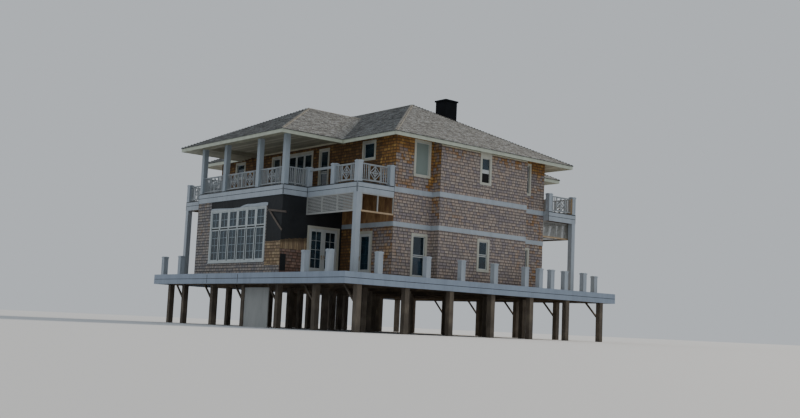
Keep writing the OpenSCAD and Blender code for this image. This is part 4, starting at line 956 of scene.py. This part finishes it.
def eave_soffits():
    """Boards up the underside of every eave to the level ceiling, and level ones from there to the walls."""
    core_x, core_y = (half - SOFFIT_SET for half in CORE_ROOF)
    wing_x, wing_y = (half - SOFFIT_SET for half in WING_ROOF)
    run = SOFFIT_RUN
    rows = climbing_boards(1, -1, core_y, -core_x, -BAY_X, run, (1, 0))
    rows += climbing_boards(1, -1, core_y, -BAY_X, BAY_X, BAY_RUN, (0, 0))
    rows += climbing_boards(1, -1, core_y, BAY_X, core_x, run, (0, 1))
    rows += climbing_boards(1, 1, core_y, -core_x, core_x, run, (1, 1))
    for side in (-1, 1):
        rows += climbing_boards(0, side, core_x, -core_y, -wing_y, run, (1, -1))
        rows += climbing_boards(0, side, core_x, wing_y, core_y, run, (-1, 1))
        rows += climbing_boards(0, side, wing_x, -wing_y, wing_y, run, (1, 1))
        ends = (1, -1) if side < 0 else (-1, 1)
        for face in (-1, 1):
            rows += climbing_boards(1, face, wing_y, *sorted((side * wing_x, side * core_x)), run, ends)
    points, faces = BOARD
    placed = [np.array([row[i] for row in rows], float) for i in range(4)]
    rng = np.random.default_rng(32)
    laid("eave_soffit_boards", ((points + 1) / 2, faces), *placed, ceiling_paint, "white_trim", rng)
    level = []
    inner, z0, z1 = -CORE_ROOF[1] + SOFFIT_SET + run, CEILING_Z - SOFFIT_T, CEILING_Z + CLEAR
    for x0, x1, wall in ((-CORE_X, -BAY_X, FRONT_A), (BAY_X, CORE_X, FRONT_C)):
        level += run_boards(0, (x0, inner, z0), (x1, wall, z1), SOFFIT_BOARD, rng)
    level += run_boards(0, (-CORE_X, HALF_Y, z0), (CORE_X, -inner, z1), SOFFIT_BOARD, rng)
    for a, b in solids("ceiling"):
        if abs(a[0] + b[0]) > 1:
            corner, far = (a[0] + CLEAR, a[1] + CLEAR, z0), (b[0] - CLEAR, b[1] - CLEAR, z1)
            level += run_boards(1, corner, far, SOFFIT_BOARD, rng)
    boards("level_soffit_boards", level, ceiling_paint, rng)


def friezes():
    """Painted boards at the head of the bay, cut round its window, and of the walls on the upper porches."""
    found = []
    window = [(a, b) for a, b in solids("window_frames") if abs(a[0] + b[0]) < 0.1 and a[1] < FRONT_A]
    edge = max(b[0] for a, b in window)
    for first, last in ((-BAY_X - 0.01, -edge), (edge, BAY_X + 0.01)):
        found.append(upright(1, first, last, *BAY_FRIEZE, FRONT_BAY - BAY_FRIEZE_T, FRONT_BAY))
    end = WING_Y - FRIEZE_SET
    for side in (-1, 1):
        face = sorted((side * CORE_X, side * (CORE_X + WALL_BOARD)))
        found.append(upright(0, -end, end, CEILING_Z - FRIEZE, CEILING_Z - SOFFIT_T, *face))
    boards("frieze_boards", found, frieze_paint, np.random.default_rng(33))


def edge_joint_shadows():
    """Painted shadow in the joints of the floor edges: between their boards, in the balconies' corners,
    along their lip, and at butts.
    """
    found = []
    for node, joint in (("deck_edge", DECK_JOINT), ("balcony_edge", BALCONY_JOINT)):
        for a, b in solids(node):
            axis = thin_axis(a, b)
            across = 1 - axis
            side = 1 if a[axis] > 0 else -1
            face = b[axis] if side > 0 else a[axis]
            skin = sorted((face - side * JOINT_DEPTH, face + side * JOINT_PROUD))
            u0, u1 = a[across], b[across]
            found.append(upright(axis, u0, u1, joint - EDGE_JOINT / 2, joint + EDGE_JOINT / 2, *skin))
            if node == "balcony_edge":
                found.append(upright(axis, u0, u1, b[2] - EDGE_LIP, b[2] + 0.001, *skin))
                for first, last in ((u0, u0 + CORNER_JOINT), (u1 - CORNER_JOINT, u1)):
                    found.append(upright(axis, first, last, a[2] + 0.01, b[2] - 0.01, *skin))
    a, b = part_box("deck_edge")
    skin = (a[0] - JOINT_PROUD, a[0] + 0.01)
    for y in DECK_BUTTS:
        found.append(upright(0, y - BUTT_HALF, y + BUTT_HALF, a[2] + 0.04, b[2] - 0.06, *skin))
    boards("edge_board_joint_shadows", found, joint_painted_shadow, np.random.default_rng(34))


# Boards of floors, ceilings and porch walls

def run_boards(axis, corner, far, pitch, rng, longest=None):
    """Boards along one axis that fill a level box, with staggered end joints if there is a longest board."""
    found = []
    first, last = corner[1 - axis], far[1 - axis]
    n = max(1, round((last - first) / pitch))
    step = (last - first) / n
    for i in range(n):
        a, b = first + i * step + BOARD_GAP / 2, first + (i + 1) * step - BOARD_GAP / 2
        cuts = [corner[axis]]
        if longest:
            cut = corner[axis] + rng.uniform(0.3, 1.0) * longest
            while cut < far[axis] - 0.5:
                cuts.append(cut)
                cut += longest
        cuts.append(far[axis])
        for c, d in zip(cuts, cuts[1:]):
            found.append(upright(axis, a, b, corner[2], far[2], c, d - END_GAP))
    return found


def floors_and_ceilings():
    """Deck boards, boards over and under the balconies, and planks at the head of the porch walls."""
    rng = np.random.default_rng(31)
    deck = run_boards(1, *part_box("main_floor"), DECK_BOARD + BOARD_GAP, rng, LONGEST_BOARD)
    piece = boards("deck_boards", deck, deck_wood, rng)
    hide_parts("main_floor")
    lids = []
    floors = []
    for a, b in solids("upper_floor"):
        corner, far = (a[0] + SIDE_CLEAR, a[1] + CLEAR), (b[0] - SIDE_CLEAR, b[1] - CLEAR)
        if b[0] - a[0] < 3 and b[1] - a[1] > 3:
            lids += run_boards(1, (*corner, a[2] - SOFFIT_T), (*far, a[2] + CLEAR), SOFFIT_BOARD, rng)
        if abs(a[0] + b[0]) > 1 and b[1] - a[1] > 3:
            top = b[2] + BALCONY_BOARD_PROUD
            floors += run_boards(1, (*corner, b[2] - CLEAR), (*far, top), SOFFIT_BOARD, rng)
    boards("porch_ceiling_boards", lids, plank_wood, rng)
    boards("balcony_floor_boards", floors, deck_wood, rng)
    planks = []
    for sx in (-1, 1):
        face = sorted((sx * CORE_X, sx * (CORE_X + WALL_BOARD)))
        for u0, u1 in ((FRONT_A if sx < 0 else FRONT_C, -WING_Y), (WING_Y, HALF_Y)):
            n = round((u1 - u0) / PLANK)
            step = (u1 - u0) / n
            for i in range(n):
                first, last = u0 + i * step + PLANK_GAP, u0 + (i + 1) * step - PLANK_GAP
                planks.append(upright(0, first, last, BAND_TOP, FLOOR_LOW, *face))
    boards("porch_wall_planks", planks, plank_wood, rng)


# Windows and doors

# Widths of a glazing bar, and of the stiles of small and tall lights, sashes, the bay's sash and the screen
MUNTIN = 0.024
SMALL_STILE = 0.045
TALL_STILE = 0.09
SASH_STILE = 0.05
BAY_STILE = 0.014
SCREEN_STILE = 0.025
# How far they stand out from their pane: a lower and an upper sash, a small and a tall light, and bars
LOWER_SASH = 0.016
UPPER_SASH = 0.010
SMALL_LIGHT = 0.014
TALL_LIGHT = 0.018
WALL_BAR = 0.012
LEAF_BAR = 0.011
# How much a level bar is set back from an upright one
BAR_SET = 0.002
# Foot and head of the zone where the rails of the bay's upper window meet
BAY_RAILS = (9.19, 9.385)
# Width of a sash's bars, and their share of its depth
SASH_BAR = MUNTIN * 0.8
BAR_SHARE = 0.7


def bars(pane, columns, rows, width, proud):
    """Glazing bars over a pane, upright ones and then level ones, as boxes."""
    a, b = pane
    axis = thin_axis(a, b)
    u0, u1 = a[1 - axis], b[1 - axis]
    front, back = a[axis] - proud, b[axis] + proud
    found = []
    for i in range(1, columns):
        u = u0 + (u1 - u0) * i / columns
        found.append(upright(axis, u - width / 2, u + width / 2, a[2], b[2], front, back))
    for i in range(1, rows):
        z = a[2] + (b[2] - a[2]) * i / rows
        found.append(upright(axis, u0, u1, z - width / 2, z + width / 2, front + BAR_SET, back - BAR_SET))
    return found


def framed(pane, stile, front, back):
    """Two stiles and two rails round a pane, just inside its edge, as boxes."""
    a, b = pane
    axis = thin_axis(a, b)
    u0, u1, z0, z1 = a[1 - axis], b[1 - axis], a[2], b[2]
    members = ((u0, u0 + stile, z0, z1), (u1 - stile, u1, z0, z1),
               (u0 + stile, u1 - stile, z0, z0 + stile), (u0 + stile, u1 - stile, z1 - stile, z1))
    return [upright(axis, *member, front, back) for member in members]


def sash(pane, stile, proud, lights=(1, 1)):
    """A sash round a pane: two stiles, two rails and its bars."""
    axis = thin_axis(*pane)
    members = framed(pane, stile, pane[0][axis] - proud, pane[1][axis] + proud)
    return members + bars(pane, *lights, SASH_BAR, proud * BAR_SHARE)


def halved(pane, low_end, high_end):
    """The lower and the upper light of a pane, on either side of the zone where their rails meet."""
    (a, b), top, foot = pane, pane[1].copy(), pane[0].copy()
    top[2], foot[2] = low_end, high_end
    return (a, top), (foot, b)


def sashes_of(node, a, b):
    """The sashes of one fixed window: one light, a row of tall lights, or one light above another."""
    wide = max(b[0] - a[0], b[1] - a[1])
    middle = (a[2] + b[2]) / 2
    if is_screened(a):
        return []
    if b[2] - a[2] < 1:
        return sash((a, b), SMALL_STILE, SMALL_LIGHT)
    if wide > 1.5:
        across = 1 - thin_axis(a, b)
        count = 3 if wide > 2 else 2
        lights = (2, 4) if node == "window_glass_lower" else (1, 1)
        edges = np.linspace(a[across], b[across], count + 1)
        found = []
        for first, last in zip(edges, edges[1:]):
            one, two = a.copy(), b.copy()
            one[across], two[across] = first, last
            found += sash((one, two), TALL_STILE, TALL_LIGHT, lights)
        return found
    if node == "window_glass_upper" and is_in_bay(a):
        lower, upper = halved((a, b), *BAY_RAILS)
        meeting = ((a[0], a[1] - 0.014, BAY_RAILS[0]), (b[0], b[1] + 0.014, BAY_RAILS[1]))
        return sash(lower, BAY_STILE, LOWER_SASH) + sash(upper, BAY_STILE, UPPER_SASH) + [meeting]
    lower, upper = halved((a, b), middle - 0.02, middle + 0.02)
    return sash(lower, SASH_STILE, LOWER_SASH) + sash(upper, SASH_STILE, UPPER_SASH)


def is_in_bay(a):
    """Whether the pane with this lowest corner is in the bay's front."""
    return a[1] < FRONT_A - 0.3


def is_screened(a):
    """Whether a pane is that of the upper window left of the bay, which has one light behind a screen."""
    return a[2] > UPPER_Z and a[1] < FRONT_A + 0.3 and a[0] < -BAY_X


def windows():
    """Bars of the window wall, sashes of the other windows, and bars that ride on the French leaves."""
    rng = np.random.default_rng(41)
    wall_bars = []
    for a, b in solids("window_wall_glass"):
        rows = 2 if a[2] > DECK_Z + 2.5 else 4
        wall_bars += bars((a, b), 2, rows, MUNTIN, WALL_BAR)
    boards("window_wall_bars", wall_bars, bar_paint, rng)
    sashes = []
    for node in ("window_glass_lower", "window_glass_upper"):
        for a, b in solids(node):
            sashes += sashes_of(node, a, b)
    boards("window_sashes", sashes, door_paint, rng)
    for side in ("left", "right"):
        body = "french_leaf_" + side
        leaf_bars = bars(solids("french_glass_" + side)[0], 2, 4, MUNTIN, LEAF_BAR)
        boards("bars_" + body, leaf_bars, door_paint, rng, body)


def insect_screen():
    """The screen over the upper window left of the bay: a cloth in a thin frame, just before its glass."""
    rng = np.random.default_rng(43)
    for a, b in solids("window_glass_upper"):
        if is_screened(a):
            front, back = a[1] - 0.03, a[1] - 0.012
            cloth = [upright(1, a[0], b[0], a[2], b[2], front + 0.006, back)]
            boards("insect_screen", cloth, screen_cloth, rng)
            edge = framed((a, b), SCREEN_STILE, front, back)
            boards("insect_screen_frame", edge, door_paint, rng)


def half_screen():
    """A black half screen over the lower sash of the bay's upper window, which stands open; it paints the
    dark room too.
    """
    rng = np.random.default_rng(44)
    rim = 0.012
    for a, b in solids("window_glass_upper"):
        if is_in_bay(a) and b[2] - a[2] > 1:
            head = BAY_RAILS[0] - rim
            # Opaque black cloth: the screen, with the shade of the dark room behind it painted in
            cloth = [upright(1, a[0] + rim, b[0] - rim, a[2] + rim, head, a[1] - 0.013, a[1] - 0.009)]
            boards("half_screen", cloth, black_screen_and_room_shade, rng)


# A handle: its height, its places from the leaf's free edge and outer face, its plate, neck and lever
HANDLE_Z = DECK_Z + 1.02
BACKSET = 0.06
PLATE_SET = 0.015
PLATE = (0.04, 0.008, 0.24)
LEVER_R = 0.009
NECK = 0.05
LEVER = 0.12
LEVER_OFF = 0.05
LEVER_RISE = 0.03
HANDLE_BEVEL = 0.003


def ease_edges():
    """Bevels all that is selected on the active piece."""
    bpy.ops.object.mode_set(mode="EDIT")
    bpy.ops.mesh.bevel(offset=HANDLE_BEVEL, segments=2)
    bpy.ops.object.mode_set(mode="OBJECT")


def handle(node, body, side):
    """A lever on a long plate near a leaf's free edge: side is 1 where that is its far end, or else -1."""
    a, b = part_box(node)
    axis = 0 if node == "side_door" else 1
    across = 1 - axis
    deselect()
    bpy.ops.mesh.primitive_cube_add(size=1)
    plate = bpy.context.active_object
    plate.scale = PLATE
    bpy.ops.object.transform_apply(location=False, rotation=False, scale=True)
    ease_edges()
    bpy.ops.mesh.primitive_cylinder_add(vertices=16, radius=LEVER_R, depth=NECK,
                                        location=(0, -NECK / 2, LEVER_RISE), rotation=(math.pi / 2, 0, 0))
    neck = bpy.context.active_object
    bpy.ops.mesh.primitive_cylinder_add(vertices=16, radius=LEVER_R, depth=LEVER,
                                        location=(-LEVER_OFF * side, -NECK, LEVER_RISE),
                                        rotation=(0, math.pi / 2, 0))
    lever = bpy.context.active_object
    ease_edges()
    deselect()
    for obj in (neck, lever, plate):
        obj.select_set(True)
    bpy.context.view_layer.objects.active = plate
    bpy.ops.object.join()
    plate.name = "handle_" + body
    spot = [0, 0, HANDLE_Z]
    spot[across] = (b[across] - BACKSET) if side > 0 else (a[across] + BACKSET)
    spot[axis] = a[axis] + PLATE_SET
    turn = Matrix.Rotation(-math.pi / 2, 4, "Z") if axis == 0 else Matrix.Identity(4)
    plate.data.transform(Matrix.Translation(spot) @ turn)
    plate.matrix_world = Matrix.Identity(4)
    plate.data.materials.clear()
    plate.data.materials.append(brass)
    bpy.ops.object.shade_smooth_by_angle(angle=math.radians(40))
    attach(plate, body)


def handles():
    """The handles of the three leaves that open."""
    handle("french_door_left", "french_leaf_left", 1)
    handle("french_door_right", "french_leaf_right", -1)
    handle("side_door", "side_leaf", 1)


# Loose and unfinished work on the left wing

# The head flashing's places along the wall, with the heights of its head and foot at each
FLASHING = (
    (2.95, 6.78, 6.68), (2.2, 6.76, 6.67), (1.4, 6.72, 6.65), (0.7, 6.69, 6.645), (0.02, 6.675, 6.64),
    (-0.24, 6.69, 6.65), (-0.6, 6.79, 6.69), (-1.02, 6.84, 6.70), (-1.4, 6.82, 6.67), (-1.77, 6.81, 6.65),
    (-2.3, 6.83, 6.64), (-2.8, 6.83, 6.63), (-3.14, 6.81, 6.62),
)
FLASHING_T = 0.004
# How far its foot leans out where it lies flat and where it is loose, and how high its ripples are
FLAT_LEAN = 0.012
LOOSE_LEAN = 0.03
RIPPLE = 0.012
# The two loose battens: width, thickness and how far the middle bows out
BATTEN = (0.11, 0.022)
BATTEN_BOW = 0.02
# Heights of the felt's laps over the deck, and how high each is
LAPS = (2.45, 3.35)
LAP_HEIGHT = 0.12


def loose_flashing():
    """The head flashing over the window wall: flat on its left half, then torn loose and wavy."""
    deselect()
    bpy.ops.mesh.primitive_grid_add(x_subdivisions=len(FLASHING) - 1, y_subdivisions=3, size=1)
    strip = bpy.context.active_object
    strip.name = "loose_head_flashing"
    mesh = strip.data
    columns = sorted({round(v.co.x, 5) for v in mesh.vertices})
    for v in mesh.vertices:
        y, head, foot = FLASHING[columns.index(round(v.co.x, 5))]
        lean = FLAT_LEAN if y > 0 else LOOSE_LEAN + LOOSE_LEAN * math.sin(y * 5)
        up = v.co.y + 0.5
        proud = CASING + FLASHING_T + lean * (1 - up) ** 2 + RIPPLE * math.sin(3 * y + 4 * up)
        v.co = (-WING_X - proud, y, foot + (head - foot) * up)
    solid = strip.modifiers.new("sheet", "SOLIDIFY")
    solid.thickness = FLASHING_T
    round_off = strip.modifiers.new("smooth", "SUBSURF")
    round_off.levels = round_off.render_levels = 2
    for name in ("sheet", "smooth"):
        bpy.ops.object.modifier_apply(modifier=name)
    mesh.materials.append(trim_paint)
    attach(strip, "house")


def batten(name, start, end, twist=0.0):
    """A loose board between two points, bowed and twisted, its broad face to the wall."""
    start, end = Vector(start), Vector(end)
    along = (end - start).normalized()
    width, thick = BATTEN
    deselect()
    bpy.ops.mesh.primitive_cube_add(size=1)
    board = bpy.context.active_object
    board.name = name
    board.scale = ((end - start).length, thick, width)
    bpy.ops.object.transform_apply(location=False, rotation=False, scale=True)
    bpy.ops.object.mode_set(mode="EDIT")
    bpy.ops.mesh.select_all(action="SELECT")
    bpy.ops.mesh.bevel(offset=BEVEL, segments=1)
    bpy.ops.mesh.subdivide(number_cuts=3)
    bpy.ops.object.mode_set(mode="OBJECT")
    half = (end - start).length / 2
    for v in board.data.vertices:
        bow = BATTEN_BOW * (1 - (v.co.x / half) ** 2)
        v.co.y += bow + twist * v.co.x / half * v.co.z
    out = along.cross(Vector((0, 0, 1))).normalized()
    up = out.cross(along)
    turn = Matrix((along, out, up)).transposed().to_4x4()
    board.data.transform(Matrix.Translation((start + end) / 2) @ turn)
    board.data.materials.append(grey_batten)
    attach(board, "house")


def felt_laps(rng):
    """Laps of the felt round the wing's corner, on its end and its front."""
    skin, tuck = 0.006, 0.002
    seams = []
    for rise, end in zip(LAPS, (FRENCH_LEFT, -CORE_X)):
        z = DECK_Z + rise
        seams.append(((-WING_X - skin, -WING_Y - skin, z), (-WING_X + tuck, PATCH_Y, z + LAP_HEIGHT)))
        seams.append(((-WING_X - skin, -WING_Y - skin, z), (end, -WING_Y + tuck, z + LAP_HEIGHT)))
    boards("felt_laps", seams, felt, rng)


def unpainted_boards(rng):
    """Bare boards: the rails under the front louvre panels, and the face of the front corner's newel."""
    found = []
    for a, b in solids("porch_louvres"):
        if b[0] - a[0] > 1 and a[1] < 0:
            found.append(((a[0], a[1] - 0.006, a[2] - 0.004), (b[0], b[1] + 0.006, a[2] + 0.085)))
    a, b = max(solids("balcony_newels"), key=lambda box: box[0][0] - box[0][1])
    found.append(((a[0] - 0.008, a[1] + 0.02, a[2] + 0.02), (a[0] + 0.004, b[1] - 0.02, b[2] - 0.14)))
    boards("unpainted_boards", found, bare_trim, rng)


def unfinished_wing():
    """What the building work left loose or bare round the left wing."""
    loose_flashing()
    x = -WING_X - 0.035
    batten("loose_batten_upper", (x, -3.17, 6.39), (x - 0.02, -4.98, 6.18), 0.3)
    batten("loose_batten_lower", (x - 0.02, -3.32, 6.36), (x, -4.6, 5.22))
    rng = np.random.default_rng(51)
    felt_laps(rng)
    unpainted_boards(rng)


# Camera, light and floor

def camera():
    """The camera, as it was fitted to the photograph."""
    yaw, pitch, roll = (math.radians(a) for a in (CAMERA_YAW, CAMERA_PITCH, CAMERA_ROLL))
    forward = Vector((math.sin(yaw) * math.cos(pitch), math.cos(yaw) * math.cos(pitch), math.sin(pitch)))
    right = Vector((math.cos(yaw), -math.sin(yaw), 0))
    up = right.cross(forward)
    across = math.cos(roll) * right + math.sin(roll) * up
    above = -math.sin(roll) * right + math.cos(roll) * up
    data = bpy.data.cameras.new("camera")
    data.sensor_width = 36
    data.lens = FOCAL_PIXELS / IMAGE_WIDTH * data.sensor_width
    data.clip_end = 2000
    obj = bpy.data.objects.new("camera", data)
    bpy.context.scene.collection.objects.link(obj)
    turn = Matrix((across, above, -forward)).transposed().to_4x4()
    obj.matrix_world = Matrix.Translation(CAMERA_PLACE) @ turn
    bpy.context.scene.camera = obj


def studio():
    """A pale floor, an even pale surround and one broad soft lamp, low from the right."""
    deselect()
    bpy.ops.mesh.primitive_circle_add(vertices=96, radius=900, fill_type="NGON")
    floor = bpy.context.active_object
    floor.name = "studio_floor"
    material, _, shader, _ = begin("studio_floor", 0.9)
    shader.inputs["Base Color"].default_value = linear("#c9cccf")
    floor.data.materials.append(material)
    world = bpy.data.worlds.new("studio")
    bpy.context.scene.world = world
    world.use_nodes = True
    sky = world.node_tree.nodes["Background"]
    sky.inputs["Color"].default_value = linear("#d9dfe5")
    sky.inputs["Strength"].default_value = 0.76
    lamp = bpy.data.lights.new("key", "SUN")
    lamp.energy = 3.4
    lamp.angle = math.radians(9)
    lamp.color = linear("#fff0dc")[:3]
    key = bpy.data.objects.new("key", lamp)
    bpy.context.scene.collection.objects.link(key)
    towards_lamp = Vector((0.90, 0.08, 0.43))
    key.matrix_world = towards_lamp.to_track_quat("Z", "Y").to_matrix().to_4x4()


dress_cad_nodes()
wall_shingles()
roofs()
eave_soffits()
friezes()
edge_joint_shadows()
floors_and_ceilings()
windows()
insect_screen()
half_screen()
handles()
unfinished_wing()
camera()
studio()
